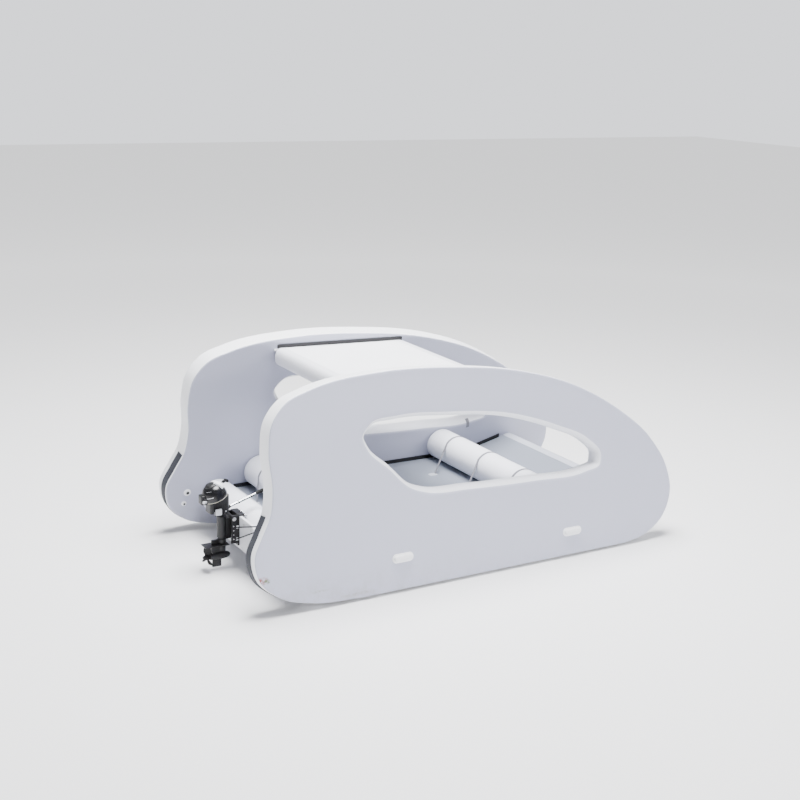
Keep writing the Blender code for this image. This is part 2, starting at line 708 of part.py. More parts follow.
join("motor_pan", [pan, stub], castMat)
head = Vector((headX, 0, headZ))
turned("engine_cover", [(0.0, 0.086), (0.010, 0.094), (0.050, 0.092), (0.080, 0.082),
                        (0.102, 0.064), (0.113, 0.046)], cowlMat, head, head + domeUp, 36)
head = head + domeUp * 0.1133
turned("starter_cover", [(0.0, 0.045), (0.008, 0.044), (0.015, 0.034), (0.017, 0.020)],
       castMat, head, head + domeUp, 36)

# tiller tube and its grip
start = tA + u * 0.0303
turned("tiller_arm", [(0, 0.009), (0.222, 0.009)], tubeMat, start, start + u, 24)
g = start + u * 0.2223
turned("tiller_grip", [(0, 0.011), (0.004, 0.014), (0.062, 0.014), (0.070, 0.010)], black,
       g, g + u, 24)

# two lines kept taut between the clamp and the starboard hull
for label, z0, x1, z1, ease in (("upper", 0.345, -1.620, 0.590, 0.0014),
                                ("lower", 0.250, -1.655, 0.600, 0.0016)):
    a = Vector((-1.652, -0.0714, z0))
    tautLine("stern_line_" + label, a, (x1, innerFace(-1, z1) + ease, z1), 0.005, black)

# moving pieces turn about their own axes
for name in ("leg", "gear_case", "motor_pan", "engine_cover", "starter_cover",
             "tiller_arm", "tiller_grip"):
    setOrigin(bpy.data.objects[name], (steerX, 0, tiltZ))
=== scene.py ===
import bpy, bmesh, math
from mathutils import Matrix, Vector
from mathutils.geometry import tessellate_polygon


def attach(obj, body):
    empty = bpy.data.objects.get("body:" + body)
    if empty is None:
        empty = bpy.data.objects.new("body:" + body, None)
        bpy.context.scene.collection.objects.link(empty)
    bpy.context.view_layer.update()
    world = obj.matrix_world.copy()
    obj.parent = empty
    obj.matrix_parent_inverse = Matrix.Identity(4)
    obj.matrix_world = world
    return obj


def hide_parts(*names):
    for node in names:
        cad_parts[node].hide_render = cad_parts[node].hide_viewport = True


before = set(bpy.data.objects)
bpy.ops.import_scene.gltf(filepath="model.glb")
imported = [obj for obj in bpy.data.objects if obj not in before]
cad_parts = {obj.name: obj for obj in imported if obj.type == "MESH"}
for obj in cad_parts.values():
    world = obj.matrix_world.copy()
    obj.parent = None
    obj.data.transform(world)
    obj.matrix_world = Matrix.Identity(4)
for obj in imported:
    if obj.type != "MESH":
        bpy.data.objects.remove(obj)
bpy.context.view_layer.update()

# the same driving sizes as the CAD source
lean = math.radians(8.55)
panelT, bandR, windowBulge, bottomHalf = 0.165, 0.012, 0.050, 0.932
bottomLift = bandR + (panelT / 2 - bandR) * math.sin(lean)
floorTop, floorT, floorAft, floorKnee, floorBow, floorRise = 0.339, 0.10, -1.318, 0.98, 1.50, 0.145
roofT, roofEnd, roofAft, roofBow, roofTopAft, roofTopBow = 0.140, 0.045, -1.02, 0.20, 1.541, 1.506
roofCorner = 0.035
rollR, rollX = 0.135, {"rear": -1.09, "middle": 0.69}
rollZ = floorTop + 0.0042 + rollR
tubeR, tubeX, tubeZ = 0.140, -1.460, 0.309
tiltX, tiltZ = -1.668, 0.412
headX, headZ, headTilt = -1.790, 0.578, math.radians(20)
tillerFrom, tillerTo = Vector((-1.700, 0.0, 0.489)), Vector((-1.391, 0.0, 0.590))
strapSpots = {"port": (0.48, -0.10), "centre": (-0.02, -0.10), "starboard": (-0.52, -0.10)}
strapReach = {"rear": 0.190, "middle": 0.285}
gap = 0.0003


finish = {"cloudScale": 3.5, "dimpleScale": 95, "weaveAxis": (0.6, 0.5, 0.62), "weaveTurn": 0.78,
          "lowTone": (0.23, 0.21, 0.18, 1), "lowToneBow": 0.2, "lowToneStern": -1.7, "lowToneAtBow": 0.15}


def material(name, color, rough, metal=0.0, vary=0.03, bump=0.0, bumpScale=600.0,
             wrinkle=0.0, wrinkleScale=6.0, lowDarken=0.0, lowDarkenTop=0.22, dimples=0.0,
             weave=0.0, marks=()):
    m = bpy.data.materials.new(name)
    m.use_nodes = True
    nodes, link = m.node_tree.nodes, m.node_tree.links.new
    shader = nodes["Principled BSDF"]
    normal = None

    def add(kind, values, **settings):
        # a node with its settings, its sockets linked or set by name or number
        node = nodes.new("ShaderNode" + kind)
        for key, value in settings.items():
            setattr(node, key, value)
        for key, value in values.items():
            if isinstance(value, bpy.types.NodeSocket):
                link(value, node.inputs[key])
            else:
                node.inputs[key].default_value = value
        return node

    def speckle(scale, detail, **more):
        values = {"Vector": place, "Scale": scale, "Detail": detail, **more}
        return add("TexNoise", values).outputs["Fac"]

    def spread(value, low, high, toLow=0.0, toHigh=1.0):
        return add("MapRange", {"Value": value, "From Min": low, "From Max": high,
                                "To Min": toLow, "To Max": toHigh}).outputs[0]

    def times(a, b):
        return add("Math", {0: a, 1: b}, operation="MULTIPLY").outputs[0]

    def blend(a, b, amount):
        return add("Mix", {"A": a, "B": b, "Factor": amount}, data_type="RGBA").outputs["Result"]

    def raised(height, strength, distance):
        values = {"Height": height, "Strength": strength, "Distance": distance}
        if normal:
            values["Normal"] = normal
        return add("Bump", values).outputs[0]

    place = nodes.new("ShaderNodeTexCoord").outputs["Object"]
    cloud = speckle(finish["cloudScale"], 5)
    tone = blend((*[c * (1 - vary) for c in color], 1),
                 (*[min(1, c * (1 + vary)) for c in color], 1), cloud)
    if lowDarken:   # darker low down, most of it at the stern
        split = add("SeparateXYZ", {0: place})
        low = spread(split.outputs["Z"], lowDarkenTop, 0.0)
        aft = spread(split.outputs["X"], finish["lowToneBow"], finish["lowToneStern"], finish["lowToneAtBow"])
        blot = spread(speckle(9, 8, Roughness=0.7), 0.42, 0.72)
        tone = blend(tone, finish["lowTone"], times(times(times(low, blot), aft), lowDarken))
    for at, size, tint, amount in marks:   # soft balls of other colours, broken up by noise
        off = add("VectorMath", {0: place, 1: at}, operation="SUBTRACT").outputs[0]
        off = add("VectorMath", {0: off, 1: size}, operation="DIVIDE").outputs[0]
        far = add("VectorMath", {0: off}, operation="LENGTH").outputs["Value"]
        crumbs = spread(speckle(60, 4), 0.35, 0.60)
        tone = blend(tone, (*tint, 1), times(spread(far, 1.0, 0.45, 0.0, amount), crumbs))
    if wrinkle:
        normal = raised(speckle(wrinkleScale, 2, Distortion=0.6), wrinkle, 0.02)
    if dimples:
        cells = add("TexVoronoi", {"Vector": place, "Scale": finish["dimpleScale"],
                                   "Randomness": 0.55})
        normal = raised(cells.outputs["Distance"], dimples, 0.004)
    if weave:
        for turn in (finish["weaveTurn"], -finish["weaveTurn"]):
            turned = add("VectorRotate", {"Vector": place, "Axis": finish["weaveAxis"],
                                          "Angle": turn}).outputs[0]
            threads = add("TexWave", {"Vector": turned, "Scale": weave, "Distortion": 0.3})
            normal = raised(threads.outputs["Fac"], 0.5, 0.0008)
    if bump:
        normal = raised(speckle(bumpScale, 2), bump, 0.001)
    shader.inputs["Metallic"].default_value = metal
    link(tone, shader.inputs["Base Color"])
    link(spread(cloud, 0.0, 1.0, rough * 0.85, min(1, rough * 1.15)), shader.inputs["Roughness"])
    if normal:
        link(normal, shader.inputs["Normal"])
    return m


# rubbed spots on the starboard stern lobe: middle, half sizes, tint and strength
scuffs = (((-1.846, -0.985, 0.286), (0.055, 0.06, 0.034), (0.25, 0.06, 0.05), 1.0),
          ((-1.812, -0.985, 0.277), (0.032, 0.06, 0.022), (0.12, 0.17, 0.08), 1.0),
          ((-1.407, -1.000, 0.134), (0.085, 0.06, 0.012), (0.30, 0.31, 0.32), 0.75),
          ((-1.723, -0.985, 0.361), (0.035, 0.06, 0.006), (0.38, 0.38, 0.41), 0.5),
          ((-1.100, -1.000, 0.060), (0.180, 0.06, 0.015), (0.30, 0.30, 0.31), 0.65))
# the faces are the same white cloth as the bands; their darker, bluer lilac grey is painted shade
faceMat = material("hull_face_shaded", (0.45, 0.462, 0.57), 0.45, bump=0.08, bumpScale=420,
                   wrinkle=0.05, wrinkleScale=4, dimples=0.03, lowDarken=0.6, lowDarkenTop=0.28, vary=0.02,
                   marks=scuffs)
bandMat = material("edge_band", (0.89, 0.90, 0.93), 0.38, bump=0.08, wrinkle=0.05,
                   wrinkleScale=14, lowDarken=1.0, lowDarkenTop=0.30, vary=0.02)
# the window rim is the bands' white tape; its greyer tone is painted shade for the upper rim
rimMat = material("window_rim_shaded", (0.76, 0.77, 0.82), 0.42, bump=0.08, wrinkle=0.06,
                  wrinkleScale=12, vary=0.02)
whiteMat = material("panel_white", (0.89, 0.90, 0.94), 0.42, bump=0.08, wrinkle=0.06,
                    wrinkleScale=3, dimples=0.035, vary=0.015)
# floor cloth and its tape are white; their dark greys are painted shade
floorMat = material("floor_white_shaded", (0.20, 0.22, 0.265), 0.45, bump=0.10, wrinkle=0.08,
                    wrinkleScale=4, dimples=0.04, vary=0.03)
tapeMat = material("tape_white", (0.76, 0.77, 0.82), 0.34, bump=0.05, wrinkle=0.10,
                   wrinkleScale=18, vary=0.015)
floorTapeMat = material("floor_tape_shaded", (0.43, 0.45, 0.51), 0.38, bump=0.05, wrinkle=0.10,
                        wrinkleScale=18, vary=0.02)
rollMat = material("roll_white", (0.80, 0.81, 0.87), 0.40, bump=0.08, wrinkle=0.16,
                   wrinkleScale=7, vary=0.02)
stripMat = material("strip_black", (0.005, 0.005, 0.007), 0.60, bump=0.25, vary=0.15)
rubMat = material("rub_grey", (0.028, 0.030, 0.040), 0.70, bump=0.35, bumpScale=900, vary=0.12)
webMat = material("webbing_grey", (0.20, 0.20, 0.23), 0.85, weave=260, vary=0.1)
threadMat = material("thread_grey", (0.42, 0.42, 0.45), 0.8, bump=0.3, vary=0.08)
mouldMat = material("moulded_white", (0.84, 0.84, 0.86), 0.38, bump=0.08, vary=0.03)
boardMat = material("board_white", (0.72, 0.73, 0.77), 0.35, bump=0.08, lowDarken=0.3, lowDarkenTop=0.25)
cowlMat = material("cowl_black", (0.002, 0.002, 0.003), 0.24, bump=0.03, vary=0.1)
castMat = material("cast_black", (0.003, 0.003, 0.004), 0.50, bump=0.35, bumpScale=700, vary=0.15)
silverMat = material("tube_silver", (0.72, 0.73, 0.76), 0.20, metal=1.0, bump=0.03)
steelMat = material("bolt_steel", (0.60, 0.60, 0.62), 0.30, metal=1.0, bump=0.1)
gripMat = material("grip_black", (0.003, 0.003, 0.003), 0.75, bump=0.4, bumpScale=900)
ropeMat = material("rope_black", (0.006, 0.006, 0.007), 0.85, weave=340, vary=0.2)
creamMat = material("trim_cream", (0.62, 0.58, 0.47), 0.35, bump=0.05)
# pale white parts; also the painted highlights on the motor cover
paleMat = material("pale_white_and_highlights", (0.74, 0.75, 0.78), 0.30, bump=0.04)


def newObject(name, data):
    o = bpy.data.objects.new(name, data)
    bpy.context.scene.collection.objects.link(o)
    return o


def addMesh(name, bm, mats, body="boat", smooth=35, node=None):
    bmesh.ops.recalc_face_normals(bm, faces=bm.faces)
    me = bpy.data.meshes.new(name)
    bm.to_mesh(me)
    bm.free()
    for m in mats:
        me.materials.append(m)
    for p in me.polygons:
        p.use_smooth = True
    me.set_sharp_from_angle(angle=math.radians(smooth))
    o = newObject(name, me)
    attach(o, body)
    if node:
        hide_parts(node)


def smoothLoop(pts, step, closed=True):
    # rounds a coarse outline: a curve through every point, cut to about step
    n = len(pts)
    spots = [Vector(p) for p in pts]
    out = []
    for i in range(n if closed else n - 1):
        p1, p2 = spots[i], spots[(i + 1) % n]
        p0 = spots[i - 1] if closed or i > 0 else p1 + (p1 - p2)
        p3 = spots[(i + 2) % n] if closed or i + 2 < n else p2 + (p2 - p1)
        d1, d2, d3 = (p1 - p0).length, (p2 - p1).length, (p3 - p2).length
        m1 = ((p1 - p0) / d1 - (p2 - p0) / (d1 + d2) + (p2 - p1) / d2) * d2
        m2 = ((p2 - p1) / d2 - (p3 - p1) / (d2 + d3) + (p3 - p2) / d3) * d2
        k = max(1, round(d2 / step))
        for j in range(k):
            t = j / k
            out.append(p1 * (2 * t**3 - 3 * t**2 + 1) + m1 * (t**3 - 2 * t**2 + t)
                       + p2 * (-2 * t**3 + 3 * t**2) + m2 * (t**3 - t**2))
    if not closed:
        out.append(spots[-1])
    return out


hullOutline = [
    (1.40, 0.000), (0.20, 0.000), (-1.05, 0.000), (-1.45, 0.031), (-1.70, 0.110),
    (-1.855, 0.255), (-1.880, 0.420), (-1.815, 0.560), (-1.742, 0.705), (-1.715, 0.875),
    (-1.727, 1.150), (-1.690, 1.345), (-1.580, 1.475), (-1.400, 1.545), (-0.800, 1.618),
    (-0.200, 1.592), (0.400, 1.507), (0.930, 1.340), (1.350, 1.108), (1.680, 0.835),
    (1.855, 0.560), (1.890, 0.370), (1.810, 0.170), (1.620, 0.040)]
windowOutline = [
    (-1.013, 1.170), (-0.975, 1.063), (-0.800, 0.893), (-0.620, 0.724), (-0.480, 0.670),
    (-0.100, 0.640), (0.500, 0.618), (1.020, 0.622), (1.175, 0.668), (1.192, 0.775),
    (1.060, 0.920), (0.760, 1.065), (0.300, 1.216), (-0.250, 1.290), (-0.700, 1.312),
    (-0.930, 1.278)]


def normals(pts, closed=True):
    # outward at every point, whichever way the loop runs
    n = len(pts)
    area = sum(pts[i][0] * pts[(i + 1) % n][1] - pts[(i + 1) % n][0] * pts[i][1]
               for i in range(n))
    s = 1 if area > 0 else -1
    out = []
    for i in range(n):
        a = pts[i - 1] if closed or i else pts[0]
        b = pts[(i + 1) % n] if closed or i + 1 < n else pts[-1]
        t = (Vector(b) - Vector(a)).normalized()
        out.append(Vector((t[1], -t[0])) * s)
    return out


def innerFace(side, z):
    # y of a hull's inner face at height z
    along = (z - bottomLift + panelT / 2 * math.sin(lean)) / math.cos(lean)
    return side * (bottomHalf - panelT / 2 * math.cos(lean) - along * math.sin(lean))


sides = (("starboard", -1), ("port", 1))


def hullPlace(side):
    # from the panel's own flat frame to the leaning hull
    return (Matrix.Translation((0, side * bottomHalf, bottomLift))
            @ Matrix.Rotation(side * lean, 4, "X"))


straight = {"aft": -1.05, "bow": 1.4, "top": 0.02}   # the bottom run stays on z = 0
outline = [(x, max(z, 0.0) if straight["aft"] <= x <= straight["bow"] and z < straight["top"]
            else z) for x, z in smoothLoop(hullOutline, 0.022)]
window = [tuple(p) for p in smoothLoop(windowOutline, 0.022)]
tape = {"reach": 0.022, "thick": 0.0009, "lap": 0.045}


def bandSection(rounding, bulge):
    # distances from the outline and heights across the panel, with the two tape layers
    h, t = panelT / 2, tape["thick"]
    rows = [(-tape["reach"], h), (-tape["reach"], h + t), (0.0, h + t)]
    if bulge:
        for k in range(1, 19):
            a = math.pi / 2 * (1 - k / 18)
            lap = 2 * t if h * math.sin(a) < tape["lap"] else t
            if lap > t and h * math.sin(a + math.pi / 36) >= tape["lap"]:   # edge of the lap
                rows.append(((bulge + t) * math.cos(a), h * math.sin(a) + 0.0004))
            rows.append(((bulge + lap) * math.cos(a), (h + lap * math.sin(a)) * math.sin(a)))
    else:
        for k in range(1, 9):
            a = math.pi / 2 * k / 8
            rows.append(((rounding + t) * math.sin(a),
                         h - rounding + (rounding + t) * math.cos(a)))
        rows.append((rounding + t, tape["lap"] + 0.0004))
        rows.append((rounding + 2 * t, tape["lap"]))
    low = [(d, -y) for d, y in reversed(rows) if abs(y) > 1e-6]
    return rows + low


def hullPiece(label, side):
    bm = bmesh.new()
    caps = {1: [], -1: []}
    for pts, way, section in ((outline, 1, bandSection(bandR, 0.0)),
                              (window, -1, bandSection(0.0, windowBulge))):
        rows = []
        for p, q in zip(pts, normals(pts)):
            rows.append([bm.verts.new((p[0] + q[0] * d * way, y, p[1] + q[1] * d * way))
                         for d, y in section])
        for i in range(len(rows)):
            u, v = rows[i], rows[(i + 1) % len(rows)]
            for k in range(len(section) - 1):
                f = bm.faces.new((u[k], u[k + 1], v[k + 1], v[k]))
                flat = min(abs(section[k][1]), abs(section[k + 1][1])) > panelT / 2 - 0.005
                f.material_index = 0 if flat else (1 if way > 0 else 2)
        caps[1].append([r[0] for r in rows])
        caps[-1].append([r[-1] for r in rows])
    for s, loops in caps.items():
        flat = [[Vector((v.co.x, v.co.z, 0)) for v in loop] for loop in loops]
        verts = [v for loop in loops for v in loop]
        for tri in tessellate_polygon(flat):
            bm.faces.new([verts[i] for i in tri])
    bmesh.ops.transform(bm, matrix=hullPlace(side), verts=bm.verts)
    addMesh("hull_" + label + "_shown", bm, [faceMat, bandMat, rimMat], node="hull_" + label,
            smooth=30)


for label, side in sides:
    hullPiece(label, side)
print("hulls done")


rub = {"half": 0.041, "thick": 0.0065, "edge": 0.002, "ease": 0.004, "shift": 0.025,
       "groove": 0.0012, "aftOf": -1.50, "top": 0.700, "mid": (-1.45, 0.42)}


def ridgedStrip(label, side):
    # grooved rubber round the stern lobe, a band swept along the outline
    mid = Vector(rub["mid"])
    lobe = [p for p in outline if p[0] < rub["aftOf"] and p[1] < rub["top"]]
    lobe.sort(key=lambda p: math.atan2(p[1] - mid[1], -(p[0] - mid[0])))
    across = []
    for k in range(33):
        y = -rub["half"] + 2 * rub["half"] * k / 32
        edge = min(1.0, (rub["half"] - abs(y)) / rub["ease"])
        dip = rub["groove"] if k % 8 in (3, 4) else 0.0
        across.append((y - side * rub["shift"],
                       rub["edge"] + (rub["thick"] - rub["edge"]) * edge ** 0.5 - dip))
    section = [(across[0][0], 0.0005)] + across + [(across[-1][0], 0.0005)]
    bm = bmesh.new()
    rows = []
    for i, p in enumerate(lobe):
        q, r = lobe[max(i - 1, 0)], lobe[min(i + 1, len(lobe) - 1)]
        t = Vector((r[0] - q[0], r[1] - q[1])).normalized()
        n = Vector((t[1], -t[0]))
        if n.dot(Vector(p) - mid) < 0:
            n = -n
        rows.append([bm.verts.new((p[0] + n[0] * (bandR + d), y, p[1] + n[1] * (bandR + d)))
                     for y, d in section])
    n = len(section)
    for u, v in zip(rows, rows[1:]):
        for k in range(n):
            j = (k + 1) % n
            bm.faces.new((u[k], u[j], v[j], v[k]))
    bm.faces.new(rows[0])
    bm.faces.new(rows[-1])
    bmesh.ops.transform(bm, matrix=hullPlace(side), verts=bm.verts)
    addMesh("rub_strip_" + label + "_shown", bm, [rubMat], node="rub_strip_" + label, smooth=50)


for label, side in sides:
    ridgedStrip(label, side)


def spanHulls(name, shape, steps, mats, node):
    # shape(d) gives x, z and material along the outline at distance d from a hull
    bm = bmesh.new()
    rows, marks = [], []
    for side, stops in ((-1, steps), (1, tuple(reversed(steps)))):
        for d in stops:
            pts = shape(d)
            marks = [m for x, z, m in pts]
            rows.append([bm.verts.new((x, innerFace(side, z) - side * (gap + d), z))
                         for x, z, m in pts])
    for u, v in zip(rows, rows[1:]):
        for i in range(len(u)):
            j = (i + 1) % len(u)
            f = bm.faces.new((u[i], u[j], v[j], v[i]))
            f.material_index = marks[i]
    for row in (rows[0], rows[-1]):
        flat = [Vector((v.co.x, v.co.z, 0)) for v in row]
        for tri in tessellate_polygon([flat]):
            bm.faces.new([row[i] for i in tri])
    addMesh(name, bm, mats, node=node, smooth=30)


def roofLine(x):
    return roofTopAft + (roofTopBow - roofTopAft) * (x - roofAft) / (roofBow - roofAft)


panelTape = {"lap": 0.045, "thick": 0.0010}


def roofShape(d):
    # half round ends wrapped in seam tape (t thick) that laps on to the top and underside
    d = min(d, roofCorner)
    cut = roofCorner - math.sqrt(max(0.0, roofCorner ** 2 - (roofCorner - d) ** 2))
    half, n, lap, t = roofT / 2, 18, panelTape["lap"], panelTape["thick"]
    pts = []
    for start, x, way in ((90, roofBow - cut - roofEnd, 1), (-90, roofAft + cut + roofEnd, -1)):
        back = x - way * lap
        mid = roofLine(back) - half
        pts.append((back, mid + way * half, 1))
        pts.append((back, mid + way * (half + t), 1))
        for i in range(n + 1):
            a = math.radians(start - 180 * i / n)
            pts.append((x + (roofEnd + t) * math.cos(a),
                        roofLine(x) - half + (half + t) * math.sin(a), 1))
        pts.append((back, mid - way * (half + t), 1))
        pts.append((back, mid - way * half, 0))
    return pts


roofSteps = [roofCorner * (1 - math.cos(math.radians(a))) for a in range(0, 91, 15)]
spanHulls("roof_panel_shown", roofShape, roofSteps + [0.10, 0.30], [whiteMat, tapeMat],
          "roof_panel")


def floorShape(d):
    # the same side profile as the CAD floor, its knee smoothed and both ends taped
    half, t, lap = floorT / 2, panelTape["thick"], panelTape["lap"]
    slope = math.atan2(floorRise, floorBow - floorKnee)
    bowTop = floorTop + floorRise
    nz = math.cos(slope)
    cx = floorBow - half * math.cos(slope)
    cz = bowTop - half * nz - half * math.sin(slope)
    top = [(floorKnee - 0.30, floorTop), (floorKnee - 0.10, floorTop),
           (floorKnee, floorTop + 0.010), (floorKnee + 0.10, floorTop + 0.035),
           (cx - half * math.sin(slope), cz + half * nz)]
    smooth = [(p[0], p[1]) for p in smoothLoop(top, 0.04, closed=False)]
    pts = [(floorAft, floorTop + t, 1), (floorAft + lap, floorTop + t, 1),
           (floorAft + lap, floorTop, 0)]
    pts += [(x, z, 0) for x, z in smooth[:-1]]
    along = Vector((math.cos(slope), math.sin(slope)))
    nose = Vector(smooth[-1])
    begin = nose - along * lap
    pts[-1] = (begin[0], begin[1], 1)
    pts.append((begin[0] - t * along[1], begin[1] + t * along[0], 1))
    for i in range(17):
        a = math.pi / 2 + slope - math.pi * i / 16
        pts.append((cx + (half + t) * math.cos(a), cz + (half + t) * math.sin(a), 1))
    under = Vector((cx + half * math.sin(slope), cz - half * nz)) - along * lap
    pts.append((under[0] + t * along[1], under[1] - t * along[0], 1))
    pts.append((under[0], under[1], 0))
    pts += [(floorKnee + 0.12, floorTop + 0.035 - floorT * 0.97, 0),
            (floorKnee + 0.02, floorTop + 0.008 - floorT, 0),
            (floorKnee - 0.10, floorTop - floorT, 0), (floorAft + lap, floorTop - floorT, 1),
            (floorAft + lap, floorTop - floorT - t, 1), (floorAft, floorTop - floorT - t, 1)]
    return pts


spanHulls("floor_panel_shown", floorShape, [0.0, 0.05, 0.30], [floorMat, floorTapeMat],
          "floor_panel")
print("panels done")


tube = {"cuts": 96, "taper": (0.0, 0.06, 0.2, 0.4, 0.65, 1.0), "tape": 0.050,
        "tapeThick": 0.0008, "half": 0.70, "step": 0.01, "pinch": 0.0016, "swell": 0.0010}


def tubeBody(name, cx, cz, radius, clear, corner, straps, seamAt, mats, node):
    # inflated tube cut to the hulls' lean: taped ends, a long seam, pinched by its straps
    n, thick = tube["cuts"], tube["tapeThick"]
    stations = []
    for d in tube["taper"]:
        cut = corner - math.sqrt(max(0.0, corner ** 2 - (corner - d * corner) ** 2))
        stations.append((d * corner, -cut + thick, 1))
    stations += [(tube["tape"], thick, 1), (tube["tape"] + 0.0002, 0.0, 0)]
    count = round(2 * tube["half"] / tube["step"]) + 1
    inner = [-tube["half"] + tube["step"] * k for k in range(count)]
    bm = bmesh.new()
    rows, marks = [], []

    def ring(place, grow, mark):
        row = []
        for k in range(n):
            a = 2 * math.pi * k / n
            seam = thick if abs(math.degrees(a) - seamAt) < 6.5 else 0.0
            r = radius + grow + seam
            x, z = cx + r * math.cos(a), cz + r * math.sin(a)
            row.append(bm.verts.new((x, place(z), z)))
        rows.append(row)
        marks.append(mark)

    for d, grow, mark in stations:
        ring(lambda z: innerFace(-1, z) + clear + d, grow, mark)
    for y in inner:
        pinch = sum(math.exp(-((y - s) / 0.011) ** 4) for s in straps)
        swell = sum(math.exp(-((abs(y - s) - 0.03) / 0.014) ** 2) for s in straps)
        ring(lambda z: y, -tube["pinch"] * pinch + tube["swell"] * swell, 0)
    for d, grow, mark in reversed(stations):
        ring(lambda z: innerFace(1, z) - clear - d, grow, 1 if mark else 0)
    total = len(rows)
    for i in range(total - 1):
        u, v = rows[i], rows[i + 1]
        for k in range(n):
            j = (k + 1) % n
            f = bm.faces.new((u[k], u[j], v[j], v[k]))
            edge = marks[i] and marks[i + 1]
            f.material_index = 1 if edge or abs((k + 0.5) * 360 / n - seamAt) < 6.0 else 0
    bm.faces.new(rows[0]).material_index = 1
    bm.faces.new(rows[-1]).material_index = 1
    addMesh(name, bm, mats, node=node, smooth=40)


for label, x in rollX.items():
    tubeBody("seat_roll_" + label + "_shown", x, rollZ, rollR, 0.0078, 0.020,
             [y for y, slant in strapSpots.values()], 300, [rollMat, tapeMat],
             "seat_roll_" + label)
tubeBody("transom_tube_shown", tubeX, tubeZ, tubeR, gap, 0.030, [], 60, [rollMat, tapeMat],
         "transom_tube")
print("tubes done")


def pad(bm, mid, size, high, power=4, n=14):
    # thin pillow with its rim on the surface below, x and y sides, domed by power
    grid = []
    for i in range(n + 1):
        row = []
        for j in range(n + 1):
            u, v = 2 * i / n - 1, 2 * j / n - 1
            r = (abs(u) ** power + abs(v) ** power) ** (1 / power)
            k = max(abs(u), abs(v)) / r if r else 1.0
            row.append(bm.verts.new((mid[0] + u * k * size[0] / 2, mid[1] + v * k * size[1] / 2,
                                     mid[2] + high * max(0.0, 1 - max(abs(u), abs(v)) ** 6))))
        grid.append(row)
    for i in range(n):
        for j in range(n):
            bm.faces.new((grid[i][j], grid[i + 1][j], grid[i + 1][j + 1], grid[i][j + 1]))
    rim = ([grid[i][0] for i in range(n)] + [grid[n][j] for j in range(n)]
           + [grid[i][n] for i in range(n, 0, -1)] + [grid[0][j] for j in range(n, 0, -1)])
    bm.faces.new(rim)


patch = {"back": 0.020, "size": (0.075, 0.058), "high": 0.0052}
for label, x in rollX.items():
    for end, (y, slant) in strapSpots.items():
        bm = bmesh.new()
        pad(bm, (x - strapReach[label] - patch["back"], y + slant, floorTop + 0.0002),
            patch["size"], patch["high"])
        addMesh("strap_patch_" + label + "_" + end, bm, [floorTapeMat])
print("strap patches done")


def latheInto(bm, rings, origin, axis, n=40, mark=0, start=None):
    # turned body from (distance, radius) pairs along an axis
    axis = Vector(axis).normalized()
    side = axis.orthogonal().normalized() if start is None else Vector(start)
    side = (side - axis * side.dot(axis)).normalized()
    other = axis.cross(side)
    rows = []
    for h, r in rings:
        rows.append([bm.verts.new(Vector(origin) + axis * h
                                  + (side * math.cos(2 * math.pi * k / n)
                                     + other * math.sin(2 * math.pi * k / n)) * r)
                     for k in range(n)])
    for u, v in zip(rows, rows[1:]):
        for k in range(n):
            f = bm.faces.new((u[k], u[(k + 1) % n], v[(k + 1) % n], v[k]))
            f.material_index = mark
    bm.faces.new(rows[0]).material_index = mark
    bm.faces.new(rows[-1]).material_index = mark


def blockInto(bm, lo, hi, bevel, mark=0, matrix=None, segments=3):
    part = bmesh.new()
    bmesh.ops.create_cube(part, size=1.0)
    bmesh.ops.scale(part, vec=[hi[i] - lo[i] for i in range(3)], verts=part.verts)
    bmesh.ops.translate(part, vec=[(hi[i] + lo[i]) / 2 for i in range(3)], verts=part.verts)
    if bevel:
        bmesh.ops.bevel(part, geom=list(part.edges), offset=bevel, segments=segments,
                        profile=0.5, affect="EDGES", clamp_overlap=True)
    if matrix is not None:
        bmesh.ops.transform(part, matrix=matrix, verts=part.verts)
    for f in part.faces:
        f.material_index = mark
    me = bpy.data.meshes.new("part")
    part.to_mesh(me)
    part.free()
    bm.from_mesh(me)
    bpy.data.meshes.remove(me)


def tubeInto(bm, pts, radius, n=16, mark=0, closed=False):
    # round bar along a path
    spots = [Vector(p) for p in pts]
    count = len(spots)
    rows = []
    frameUp = None
    for i, p in enumerate(spots):
        a = spots[(i - 1) % count] if closed or i else spots[0]
        b = spots[(i + 1) % count] if closed or i + 1 < count else spots[-1]
        t = (b - a).normalized()
        if frameUp is None:
            frameUp = t.orthogonal().normalized()
        frameUp = (frameUp - t * frameUp.dot(t)).normalized()
        other = t.cross(frameUp)
        rows.append([bm.verts.new(p + (frameUp * math.cos(2 * math.pi * k / n)
                                       + other * math.sin(2 * math.pi * k / n)) * radius)
                     for k in range(n)])
    spans = list(zip(rows, rows[1:]))
    if closed:
        spans.append((rows[-1], rows[0]))
    for u, v in spans:
        for k in range(n):
            f = bm.faces.new((u[k], u[(k + 1) % n], v[(k + 1) % n], v[k]))
            f.material_index = mark
    if not closed:
        bm.faces.new(rows[0]).material_index = mark
        bm.faces.new(rows[-1]).material_index = mark


def pillInto(bm, mid, length, high, low, top, matrix, mark=0, ease=0.003):
    # flat pill in x and z, standing from low to top along -y of the matrix
    rings = []
    r = high / 2
    s = length / 2 - r
    for depth, inset in ((low, 0.0), (top - ease, 0.0), (top - ease * 0.3, ease * 0.35),
                         (top, ease)):
        row = []
        for side, arc in ((1, range(-90, 91, 10)), (-1, range(90, 271, 10))):
            for a in arc:
                q = (mid[0] + side * s + (r - inset) * math.cos(math.radians(a)), -depth,
                     mid[1] + (r - inset) * math.sin(math.radians(a)))
                row.append(bm.verts.new(matrix @ Vector(q)))
        rings.append(row)
    n = len(rings[0])
    for u, v in zip(rings, rings[1:]):
        for k in range(n):
            bm.faces.new((u[k], u[(k + 1) % n], v[(k + 1) % n], v[k])).material_index = mark
    bm.faces.new(rings[0]).material_index = mark
    bm.faces.new(rings[-1]).material_index = mark
